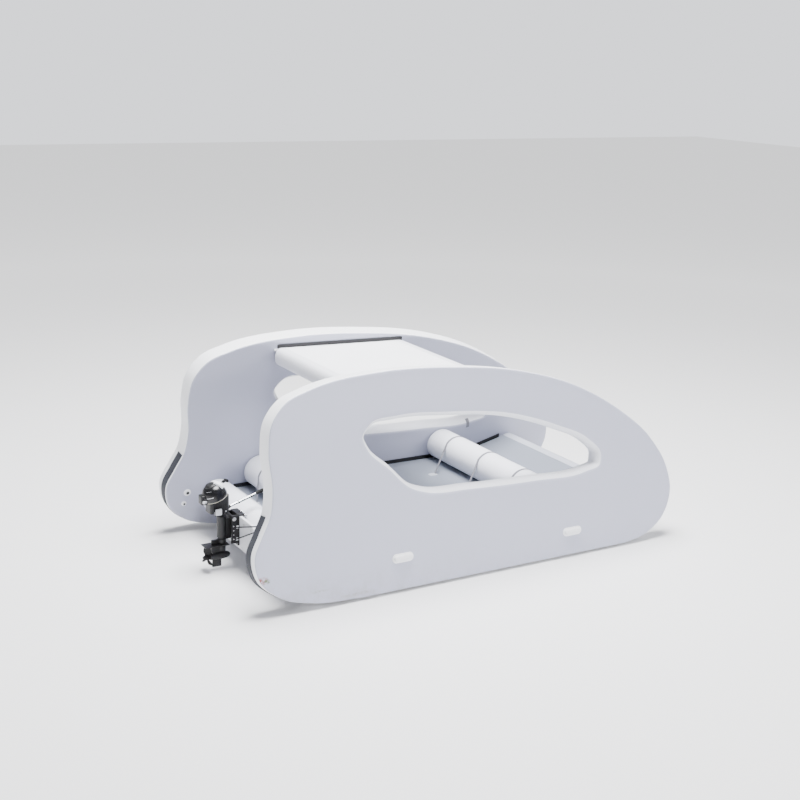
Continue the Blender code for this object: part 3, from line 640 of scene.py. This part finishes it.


# carrying handles: glued flange, raised grip with a low ridge and two end bumps
handle = {"aft": (-0.71, 0.229), "bow": (0.86, 0.176), "length": 0.182, "high": 0.070,
          "gripLength": 0.158, "gripHigh": 0.046, "bumps": (0.052, 0.062)}
for label, side in sides:
    face = hullPlace(side) @ Matrix.Translation((0, side * (panelT / 2 + gap), 0))
    if side > 0:
        face = face @ Matrix.Scale(-1, 4, (0, 1, 0))
    for spot in ("aft", "bow"):
        x, z = handle[spot]
        bm = bmesh.new()
        pillInto(bm, (x, z), handle["length"], handle["high"], 0.0, 0.0050, face)
        pillInto(bm, (x, z + 0.002), handle["gripLength"], handle["gripHigh"], 0.0045, 0.0240,
                 face, ease=0.009)
        for shift in handle["bumps"]:
            pillInto(bm, (x + shift, z + 0.002), 0.007, 0.006, 0.0235, 0.0262, face, ease=0.001)
        pillInto(bm, (x - 0.012, z - 0.003), 0.090, 0.010, 0.0236, 0.0252, face, ease=0.0012)
        addMesh("handle_" + label + "_" + spot + "_shown", bm, [mouldMat],
                node="handle_" + label + "_" + spot, smooth=40)

# valve fittings: flange, ring and a flat black disc in the middle, painted shade for a sunk recess
valve = {"upper": (-1.711, 0.353, 0.030), "lower": (-1.737, 0.256, 0.022)}
for label, side in sides:
    place = hullPlace(side)
    for spot, (x, z, r) in valve.items():
        at = place @ Vector((x, -side * (panelT / 2 + gap), z))
        way = place.to_3x3() @ Vector((0, -side, 0))
        bm = bmesh.new()
        latheInto(bm, [(0, r), (0.002, r), (0.0032, r * 0.94), (0.0034, r * 0.80),
                       (0.0110, r * 0.78), (0.0128, r * 0.72), (0.0128, r * 0.50)], at, way, 48)
        # black disc on the face: painted shade of the sunk middle
        latheInto(bm, [(0.0129, r * 0.46), (0.0133, r * 0.40), (0.0133, r * 0.1)], at, way, 40,
                  mark=1)
        addMesh("valve_" + label + "_" + spot + "_shown", bm, [mouldMat, gripMat],
                node="valve_" + label + "_" + spot, smooth=40)
print("fittings done")


def repeatGroup():
    # one group for every row of small repeated parts: evenly spaced along a line
    g = bpy.data.node_groups.new("repeat_along_line", "GeometryNodeTree")
    sock = {}
    for label, kind in (("Line", "NodeSocketGeometry"), ("Count", "NodeSocketInt"),
                        ("Stamp", "NodeSocketObject"), ("Finish", "NodeSocketMaterial")):
        sock[label] = g.interface.new_socket(label, in_out="INPUT", socket_type=kind).identifier
    g.interface.new_socket("Mesh", in_out="OUTPUT", socket_type="NodeSocketGeometry")
    n, l = g.nodes, g.links
    gin, gout = n.new("NodeGroupInput"), n.new("NodeGroupOutput")
    curve = n.new("GeometryNodeMeshToCurve")
    points = n.new("GeometryNodeCurveToPoints")
    points.mode = "COUNT"
    info = n.new("GeometryNodeObjectInfo")
    info.transform_space = "ORIGINAL"
    put = n.new("GeometryNodeInstanceOnPoints")
    real = n.new("GeometryNodeRealizeInstances")
    setMat = n.new("GeometryNodeSetMaterial")
    l.new(gin.outputs["Line"], curve.inputs["Mesh"])
    l.new(curve.outputs["Curve"], points.inputs["Curve"])
    l.new(gin.outputs["Count"], points.inputs["Count"])
    l.new(gin.outputs["Stamp"], info.inputs["Object"])
    l.new(points.outputs["Points"], put.inputs["Points"])
    l.new(info.outputs["Geometry"], put.inputs["Instance"])
    l.new(put.outputs["Instances"], real.inputs["Geometry"])
    l.new(real.outputs["Geometry"], setMat.inputs["Geometry"])
    l.new(gin.outputs["Finish"], setMat.inputs["Material"])
    l.new(setMat.outputs["Geometry"], gout.inputs["Mesh"])
    return g, sock


repeater, sockets = repeatGroup()


def repeat(name, line, count, stamp, mat, body="boat"):
    # stamp is a bmesh about the origin, already turned the right way
    bmesh.ops.recalc_face_normals(stamp, faces=stamp.faces)
    small = bpy.data.meshes.new(name + "_stamp")
    stamp.to_mesh(small)
    stamp.free()
    for f in small.polygons:
        f.use_smooth = True
    small.set_sharp_from_angle(angle=math.radians(35))
    stampObject = newObject(name + "_stamp", small)
    path = bpy.data.meshes.new(name + "_line")
    path.from_pydata([tuple(p) for p in line], [(i, i + 1) for i in range(len(line) - 1)], [])
    holder = newObject(name + "_line", path)
    mod = holder.modifiers.new("repeat", "NODES")
    mod.node_group = repeater
    mod[sockets["Count"]] = count
    mod[sockets["Stamp"]] = stampObject
    mod[sockets["Finish"]] = mat
    bpy.context.view_layer.update()
    made = holder.evaluated_get(bpy.context.evaluated_depsgraph_get())
    me = bpy.data.meshes.new_from_object(made)
    me.name = name
    holder.modifiers.remove(mod)
    bpy.data.objects.remove(holder, do_unlink=True)
    bpy.data.objects.remove(stampObject, do_unlink=True)
    o = newObject(name, me)
    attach(o, body)


def stud(axis, rad, high, n=6, washer=0.0):
    # bolt head with an optional washer, standing on the surface along its axis
    bm = bmesh.new()
    if washer:
        latheInto(bm, [(0, washer), (0.0012, washer), (0.0016, washer * 0.9)], (0, 0, 0), axis, 24)
    low = 0.0014 if washer else 0.0
    latheInto(bm, [(low, rad), (high * 0.8, rad), (high, rad * 0.82)], (0, 0, 0), axis, n)
    return bm


# stitched threads on the hanging tabs
tab = {"x": 0.980, "apart": 0.011, "from": 0.597, "to": 0.618, "stitches": 6, "proud": 0.0032}
for label, side in sides:
    place = hullPlace(side)
    for k, dx in enumerate((-tab["apart"], tab["apart"])):
        bm = bmesh.new()
        blockInto(bm, (-0.0005, -0.0006, -0.0016), (0.0005, 0.0006, 0.0016), 0.0003)
        bmesh.ops.rotate(bm, matrix=Matrix.Rotation(side * lean, 3, "X"), verts=bm.verts)
        y = -side * (panelT / 2 + gap + tab["proud"])
        line = [place @ Vector((tab["x"] + dx, y, z)) for z in (tab["from"], tab["to"])]
        repeat("tab_stitches_%s_%d" % (label, k), line, tab["stitches"], bm, threadMat)
print("stitches done")

# white board: bolts with washers in two rows, starboard and port of the clamp
board = {"thick": 0.026, "rows": (0.290, 0.385), "inner": 0.150, "outer": 0.285}
aftFace = tubeX - tubeR - gap - board["thick"]
for k, z in enumerate(board["rows"]):
    for label, y0, y1 in (("starboard", -board["outer"], -board["inner"]),
                          ("port", board["inner"], board["outer"])):
        repeat("board_bolts_%s_%d" % (label, k), [(aftFace, y0, z), (aftFace, y1, z)], 2,
               stud((-1, 0, 0), 0.0055, 0.005, washer=0.010), steelMat)

# clamp: holes for the tilt pin, pivot nuts, cleats for the tie lines and the two screws
clamp = {"side": 0.0680, "holes": (0.250, 0.285, 0.320, 0.355), "cleatThick": 0.004,
         "cleats": ((-1.652, 0.335, -1.634, 0.358), (-1.655, 0.238, -1.638, 0.262)),
         "screwY": 0.042, "screwZ": 0.424, "screwR": 0.0070, "threads": 6, "pitch": 0.0028}
for label, s in sides:
    y = s * clamp["side"]
    bm = bmesh.new()
    for z in clamp["holes"]:
        latheInto(bm, [(-0.0004, 0.0052), (0.0010, 0.0050), (0.0010, 0.0034)],
                  (tiltX - 0.006, y, z), (0, s, 0), 20)
    addMesh("tilt_holes_" + label, bm, [steelMat])
    bm = bmesh.new()
    pivot = (tiltX, y, tiltZ)
    latheInto(bm, [(-0.0004, 0.0150), (0.0020, 0.0150), (0.0028, 0.0140)], pivot, (0, s, 0), 32)
    latheInto(bm, [(0.0026, 0.0095), (0.0085, 0.0095), (0.0100, 0.0080)], pivot, (0, s, 0), 6)
    addMesh("pivot_nut_" + label, bm, [steelMat])
    bm = bmesh.new()
    y0, y1 = sorted((y, y + s * clamp["cleatThick"]))
    for x0, z0, x1, z1 in clamp["cleats"]:
        blockInto(bm, (x0, y0, z0), (x1, y1, z1), 0.002)
    addMesh("line_cleat_" + label, bm, [paleMat if s < 0 else castMat])
    bm = bmesh.new()
    y, z, r = s * clamp["screwY"], clamp["screwZ"], clamp["screwR"]
    x = tubeX - tubeR - gap + 0.016 + gap
    latheInto(bm, [(0, r), (0.024, r), (0.026, 0.0055)], (x, y, z), (1, 0, 0), 24)
    for k in range(clamp["threads"]):
        latheInto(bm, [(0, r), (0.0008, r + 0.0008), (0.0016, r)],
                  (x + 0.003 + clamp["pitch"] * k, y, z), (1, 0, 0), 24)
    tubeInto(bm, [(x + 0.020, y + t, z) for t in (-0.026, 0.0, 0.026)], 0.0042, 14)
    for t in (-0.025, 0.025):
        latheInto(bm, [(-0.003, 0.0030), (-0.0015, 0.0050), (0.0015, 0.0050), (0.003, 0.0030)],
                  (x + 0.020, y + t, z), (0, 1, 0), 18)
    addMesh("clamp_screw_" + label + "_shown", bm, [silverMat], node="clamp_screw_" + label)
print("clamp done")

# power head: frame along the tilted cover
tiltUp = Vector((-math.sin(headTilt), 0, math.cos(headTilt)))
ahead = Vector((math.cos(headTilt), 0, math.sin(headTilt)))
headAt = Vector((headX, 0, headZ))


def onCover(h, deg, r):
    a = math.radians(deg)
    return headAt + tiltUp * h + ahead * (r * math.cos(a)) + Vector((0, r * math.sin(a), 0))


coverRings = [(0.0, 0.086), (0.010, 0.094), (0.050, 0.092), (0.080, 0.082), (0.102, 0.064),
              (0.113, 0.046)]


def coverRadius(h):
    for (h0, r0), (h1, r1) in zip(coverRings, coverRings[1:]):
        if h0 <= h <= h1:
            return r0 + (r1 - r0) * (h - h0) / (h1 - h0)
    return coverRings[-1][1]


bm = bmesh.new()
fine = [(p[0], p[1]) for p in smoothLoop(coverRings, 0.004, closed=False)]
latheInto(bm, fine, headAt, tiltUp, 72, start=ahead)
addMesh("engine_cover_shown", bm, [cowlMat], body="motor", node="engine_cover", smooth=50)

# cream trim at the rim of the cover
bm = bmesh.new()
latheInto(bm, [(0.0080, 0.0925), (0.0090, 0.0950), (0.0125, 0.0955), (0.0140, 0.0935)], headAt,
          tiltUp, 72)
addMesh("cover_trim", bm, [creamMat], body="motor")


def highlightStripe(name, h0, h1, begin, end, thick=0.0012, n=28):
    # painted highlight: pale stripe on the cover between two heights and two angles, thinned at
    # its ends
    bm = bmesh.new()
    rows = []
    for i in range(n + 1):
        deg = begin + (end - begin) * i / n
        thin = min(1.0, 6 * min(i, n - i) / n + 0.15)
        m = (h0 + h1) / 2
        a, b = m + (h0 - m) * thin, m + (h1 - m) * thin
        rows.append([bm.verts.new(onCover(a, deg, coverRadius(a) - 0.0008)),
                     bm.verts.new(onCover(a, deg, coverRadius(a) + thick)),
                     bm.verts.new(onCover(b, deg, coverRadius(b) + thick)),
                     bm.verts.new(onCover(b, deg, coverRadius(b) - 0.0008))])
    for u, v in zip(rows, rows[1:]):
        for k in range(4):
            bm.faces.new((u[k], u[(k + 1) % 4], v[(k + 1) % 4], v[k]))
    bm.faces.new(rows[0])
    bm.faces.new(rows[-1])
    addMesh(name, bm, [paleMat], body="motor")


# pale stripes on the glossy black cover: painted highlights
coverHighlights = {"low": (0.030, 0.0325, 225, 292), "mid": (0.052, 0.0555, 212, 250),
             "high": (0.088, 0.098, 205, 250), "port": (0.052, 0.0555, 110, 148)}
for label, (h0, h1, begin, end) in coverHighlights.items():
    highlightStripe("cover_arc_" + label, h0, h1, begin, end)

# starter housing: a low cap with ribs over its shoulder
starter = {"lift": 0.1133, "ribs": 14, "ribR": 0.0016}
bm = bmesh.new()
starterAt = headAt + tiltUp * starter["lift"]
latheInto(bm, [(0.0, 0.045), (0.006, 0.0445), (0.008, 0.040), (0.013, 0.036), (0.015, 0.030),
               (0.017, 0.020), (0.0172, 0.010)], starterAt, tiltUp, 60)
for k in range(starter["ribs"]):
    a = 2 * math.pi * k / starter["ribs"]
    out = ahead * math.cos(a) + Vector((0, math.sin(a), 0))
    tubeInto(bm, [starterAt + tiltUp * 0.0080 + out * 0.0405,
                  starterAt + tiltUp * 0.0140 + out * 0.0335,
                  starterAt + tiltUp * 0.0164 + out * 0.0230], starter["ribR"], 8)
addMesh("starter_cover_shown", bm, [castMat], body="motor", node="starter_cover", smooth=40)

# pull handle: white housing on the bow side of the cover, black knob on its end
pull = {"half": 50, "cuts": 18, "low": 0.072, "high": 0.130, "topR": 0.046,
        "swell": ((0.072, 0.000), (0.080, 0.012), (0.094, 0.022), (0.108, 0.024),
                  (0.122, 0.018), (0.130, 0.004))}
bm = bmesh.new()
turns = [-pull["half"] + 2 * pull["half"] * k / pull["cuts"] for k in range(pull["cuts"] + 1)]
rows = []
for h, lift in pull["swell"]:
    base = coverRadius(h) if h < coverRings[-1][0] else pull["topR"]
    row = []
    for deg in turns:
        soft = math.sqrt(max(0.0, 1 - (deg / pull["half"]) ** 4))
        row.append(bm.verts.new(onCover(h, deg, base - 0.002 + (0.002 + lift) * soft)))
    rows.append(row)
under = coverRadius(pull["low"]) - 0.004
lowRow = [bm.verts.new(onCover(pull["low"], deg, under)) for deg in turns]
highRow = [bm.verts.new(onCover(pull["high"], deg, 0.030)) for deg in turns]
grid = [lowRow] + rows + [highRow]
for u, v in list(zip(grid, grid[1:])) + [(lowRow, highRow)]:
    for k in range(pull["cuts"]):
        bm.faces.new((u[k], u[k + 1], v[k + 1], v[k]))
for end in (0, pull["cuts"]):
    bm.faces.new([r[end] for r in grid])
addMesh("pull_housing", bm, [paleMat], body="motor", smooth=50)
bm = bmesh.new()
knobFrom = onCover(0.104, -8, 0.080)
latheInto(bm, [(0.0, 0.0045), (0.012, 0.0045), (0.013, 0.0090), (0.018, 0.0120), (0.026, 0.0120),
               (0.030, 0.0080)], knobFrom, ahead - tiltUp * 0.1, 28)
addMesh("pull_knob", bm, [gripMat], body="motor")

# fuel block on the aft side, white cap on its starboard end
bm = bmesh.new()
blockInto(bm, (-1.918, -0.034, 0.548), (-1.862, 0.034, 0.620), 0.008)
blockInto(bm, (-1.900, -0.045, 0.556), (-1.870, -0.030, 0.600), 0.005)
latheInto(bm, [(0, 0.012), (0.006, 0.012), (0.008, 0.010)], (-1.894, 0.0, 0.619), (-0.1, 0, 1), 28)
addMesh("aft_block", bm, [castMat], body="motor")
bm = bmesh.new()
latheInto(bm, [(0, 0.0100), (0.008, 0.0100), (0.010, 0.0080)], (-1.902, -0.044, 0.576),
          (-0.3, -1, 0), 28)
blockInto(bm, (-1.914, -0.050, 0.567), (-1.880, -0.043, 0.585), 0.003)
addMesh("aft_cap", bm, [paleMat], body="motor")

# pan: ribs and bolts on both sides, white box with a black rim on starboard
pan = {"ribs": 7, "ribHalf": 0.026, "ribFrom": -1.832, "ribTo": -1.724, "ribZ": 0.522,
       "boltFrom": -1.822, "boltTo": -1.732, "boltZ": 0.485, "side": 0.0580}
for label, s in sides:
    bm = bmesh.new()
    y0, y1 = sorted((s * 0.0575, s * 0.0605))
    blockInto(bm, (-0.0018, y0, -pan["ribHalf"]), (0.0018, y1, pan["ribHalf"]), 0.0010)
    repeat("pan_ribs_" + label, [(pan["ribFrom"], 0, pan["ribZ"]), (pan["ribTo"], 0, pan["ribZ"])],
           pan["ribs"], bm, castMat, body="motor")
    bm = stud((0, s, 0), 0.0042, 0.0040, washer=0.0065)
    line = [(x, s * pan["side"], pan["boltZ"]) for x in (pan["boltFrom"], pan["boltTo"])]
    repeat("pan_bolts_" + label, line, 2, bm, steelMat, body="motor")
box = {"lo": (-1.824, -0.0740, 0.462), "hi": (-1.768, -0.0585, 0.518), "bevel": 0.010,
       "rimX": (-1.814, -1.778), "rimZ": (0.472, 0.508), "rimY": -0.0725, "turn": 0.0115,
       "rimR": 0.0028}
bm = bmesh.new()
blockInto(bm, box["lo"], box["hi"], box["bevel"], segments=4)
addMesh("side_box", bm, [paleMat], body="motor")
bm = bmesh.new()
rim = []
for i, j, start in ((1, 1, 0), (0, 1, 90), (0, 0, 180), (1, 0, 270)):
    for k in range(7):
        a = math.radians(start + 15 * k)
        rim.append((box["rimX"][i] + box["turn"] * math.cos(a), box["rimY"],
                    box["rimZ"][j] + box["turn"] * math.sin(a)))
tubeInto(bm, rim, box["rimR"], 12, closed=True)
addMesh("side_box_rim", bm, [gripMat], body="motor")
print("power head done")

# tiller: tube in two lengths with a collar, throttle rod on two clips, ribbed two-part grip
tiller = {"inset": 0.0303, "long": 0.222, "rodR": 0.0028, "rodOut": 0.0185, "rodIn": 0.008,
          "clips": (0.070, 0.180), "rings": 7, "ringFrom": 0.036, "ringTo": 0.058}
u = (tillerTo - tillerFrom).normalized()
start = tillerFrom + u * tiller["inset"]
bm = bmesh.new()
latheInto(bm, [(0, 0.0095), (0.118, 0.0095), (0.119, 0.0088), (tiller["long"], 0.0088)], start, u,
          32)
latheInto(bm, [(0.112, 0.0095), (0.113, 0.0115), (0.125, 0.0115), (0.126, 0.0090)], start, u, 32)
addMesh("tiller_arm_shown", bm, [silverMat], body="motor", node="tiller_arm")
bm = bmesh.new()
rod = [start + u * t - Vector((0, out, 0))
       for t, out in ((0.030, tiller["rodIn"]), (0.060, tiller["rodOut"]),
                      (0.190, tiller["rodOut"]), (0.212, tiller["rodIn"]))]
tubeInto(bm, rod, tiller["rodR"], 12)
addMesh("throttle_rod", bm, [gripMat], body="motor")
bm = bmesh.new()
latheInto(bm, [(-0.004, 0.0115), (0.004, 0.0115)], (0, 0, 0), u, 24)
blockInto(bm, (-0.004, -0.0225, -0.004), (0.004, -0.008, 0.004), 0.001)
repeat("rod_clips", [start + u * t for t in tiller["clips"]], 2, bm, gripMat, body="motor")
bm = bmesh.new()
gripAt = start + u * (tiller["long"] + gap)
latheInto(bm, [(0, 0.0105), (0.003, 0.0135), (0.026, 0.0135), (0.028, 0.0120), (0.031, 0.0120),
               (0.033, 0.0135), (0.062, 0.0135), (0.070, 0.0100)], gripAt, u, 40)
addMesh("tiller_grip_shown", bm, [gripMat], body="motor", node="tiller_grip")
bm = bmesh.new()
latheInto(bm, [(-0.0013, 0.0134), (-0.0006, 0.0146), (0.0006, 0.0146), (0.0013, 0.0134)],
          (0, 0, 0), u, 40)
repeat("grip_rings", [gripAt + u * tiller["ringFrom"], gripAt + u * tiller["ringTo"]],
       tiller["rings"], bm, gripMat, body="motor")
print("tiller done")

# tube valve: ribbed black cap on a low flange
cap = {"y": 0.70, "way": (0.35, 0, 1), "ribs": 16, "ribR": 0.0016, "r": 0.0190}
d = Vector(cap["way"]).normalized()
at = Vector((tubeX, cap["y"], tubeZ)) + d * (tubeR + gap)
bm = bmesh.new()
latheInto(bm, [(0, 0.0240), (0.0040, 0.0240), (0.0055, 0.0215)], at, d, 48)
latheInto(bm, [(0.0054, cap["r"]), (0.0160, cap["r"]), (0.0190, 0.0165), (0.0195, 0.0060)], at, d,
          48)
side = d.orthogonal().normalized()
other = d.cross(side)
for k in range(cap["ribs"]):
    a = 2 * math.pi * k / cap["ribs"]
    out = side * math.cos(a) + other * math.sin(a)
    tubeInto(bm, [at + d * 0.0062 + out * cap["r"], at + d * 0.0160 + out * cap["r"]],
             cap["ribR"], 8)
addMesh("transom_valve_shown", bm, [gripMat], node="transom_valve", smooth=40)

# white end piece at the aft end of each roof joint strip
stripEnd = {"x": -1.006, "lo": (-0.022, -0.006, -0.012), "hi": (0.012, 0.006, 0.008),
            "bevel": 0.004}
for label, side in sides:
    x, z = stripEnd["x"], roofLine(stripEnd["x"])
    bm = bmesh.new()
    y = innerFace(side, z) - side * 0.0065
    blockInto(bm, stripEnd["lo"], stripEnd["hi"], stripEnd["bevel"],
              matrix=Matrix.Translation((x + 0.006, y, z - 0.012)))
    addMesh("roof_strip_end_" + label, bm, [tapeMat])


def dress(node, mat):
    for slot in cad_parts[node].material_slots:
        slot.material = mat


plain = {"stern_line_upper": ropeMat, "stern_line_lower": ropeMat, "motor_board": boardMat,
         "clamp_bracket": castMat, "swivel_bracket": castMat, "leg": castMat,
         "gear_case": castMat, "propeller": gripMat, "motor_pan": castMat}
for label, side in sides:
    plain["floor_strip_" + label] = plain["roof_strip_" + label] = stripMat
    plain["hang_tab_" + label] = webMat
for end in strapSpots:
    plain["seat_strap_rear_" + end] = plain["seat_strap_middle_" + end] = webMat
for node, mat in plain.items():
    dress(node, mat)
print("nodes dressed")

# stage: pale floor that fades to white, soft light
stage = {"size": 40, "floor": (0.80, 0.80, 0.81, 1), "fadeFrom": 3.0, "fadeTo": 14.0, "glow": 0.8,
         "sky": (0.93, 0.95, 1.0, 1), "skyLight": 0.55, "skySeen": 1.6}
bm = bmesh.new()
bmesh.ops.create_grid(bm, x_segments=1, y_segments=1, size=stage["size"])
me = bpy.data.meshes.new("floor")
bm.to_mesh(me)
bm.free()
ground = newObject("floor", me)
pale = bpy.data.materials.new("floor_pale")
pale.use_nodes = True
nodes, link = pale.node_tree.nodes, pale.node_tree.links.new
shader = nodes["Principled BSDF"]
shader.inputs["Base Color"].default_value = stage["floor"]
shader.inputs["Roughness"].default_value = 0.9
shader.inputs["Emission Color"].default_value = (1, 1, 1, 1)
away = nodes.new("ShaderNodeVectorMath")   # distance from the boat
away.operation = "LENGTH"
glow = nodes.new("ShaderNodeMapRange")
glow.inputs["From Min"].default_value = stage["fadeFrom"]
glow.inputs["From Max"].default_value = stage["fadeTo"]
glow.inputs["To Max"].default_value = stage["glow"]
link(nodes.new("ShaderNodeTexCoord").outputs["Object"], away.inputs[0])
link(away.outputs["Value"], glow.inputs["Value"])
link(glow.outputs["Result"], shader.inputs["Emission Strength"])
me.materials.append(pale)


def lamp(name, size, power, at, aim):
    d = bpy.data.lights.new(name, "AREA")
    d.shape = "DISK"
    d.size = size
    d.energy = power
    o = newObject(name, d)
    o.location = at
    o.rotation_mode = "QUATERNION"
    o.rotation_quaternion = (Vector(aim) - Vector(at)).to_track_quat("-Z", "Y")
    return o


lights = [lamp("front", 3.6, 900, (3.5, -13.0, 3.2), (0, 0, 0.8)),
          lamp("sky", 6.0, 3600, (0.0, 0.0, 9.0), (0, 0, 0.8))]
world = bpy.data.worlds.new("studio")
bpy.context.scene.world = world
world.use_nodes = True
nodes, link = world.node_tree.nodes, world.node_tree.links.new
nodes["Background"].inputs["Color"].default_value = stage["sky"]
paler = nodes.new("ShaderNodeMapRange")   # paler where the camera sees it
paler.inputs["To Min"].default_value = stage["skyLight"]
paler.inputs["To Max"].default_value = stage["skySeen"]
link(nodes.new("ShaderNodeLightPath").outputs["Is Camera Ray"], paler.inputs["Value"])
link(paler.outputs["Result"], nodes["Background"].inputs["Strength"])

# camera at the photo's angle
view = {"at": (-5.3507, -8.6891, 3.9321), "yaw": 30.69, "pitch": 15.29, "roll": 1.69,
        "lens": 58.5}
yaw, pitch, roll = (math.radians(view[k]) for k in ("yaw", "pitch", "roll"))
forward = Vector((math.sin(yaw) * math.cos(pitch), math.cos(yaw) * math.cos(pitch),
                  -math.sin(pitch)))
right = Vector((math.cos(yaw), -math.sin(yaw), 0))
up = right.cross(forward)
sideways = right * math.cos(roll) + up * math.sin(roll)
upright = up * math.cos(roll) - right * math.sin(roll)
cam = bpy.data.cameras.new("camera")
cam.sensor_width = 36
cam.lens = view["lens"]
cam.clip_end = 200
eye = newObject("camera", cam)
eye.matrix_world = (Matrix.Translation(view["at"])
                    @ Matrix((sideways, upright, -forward)).transposed().to_4x4())
bpy.context.scene.camera = eye
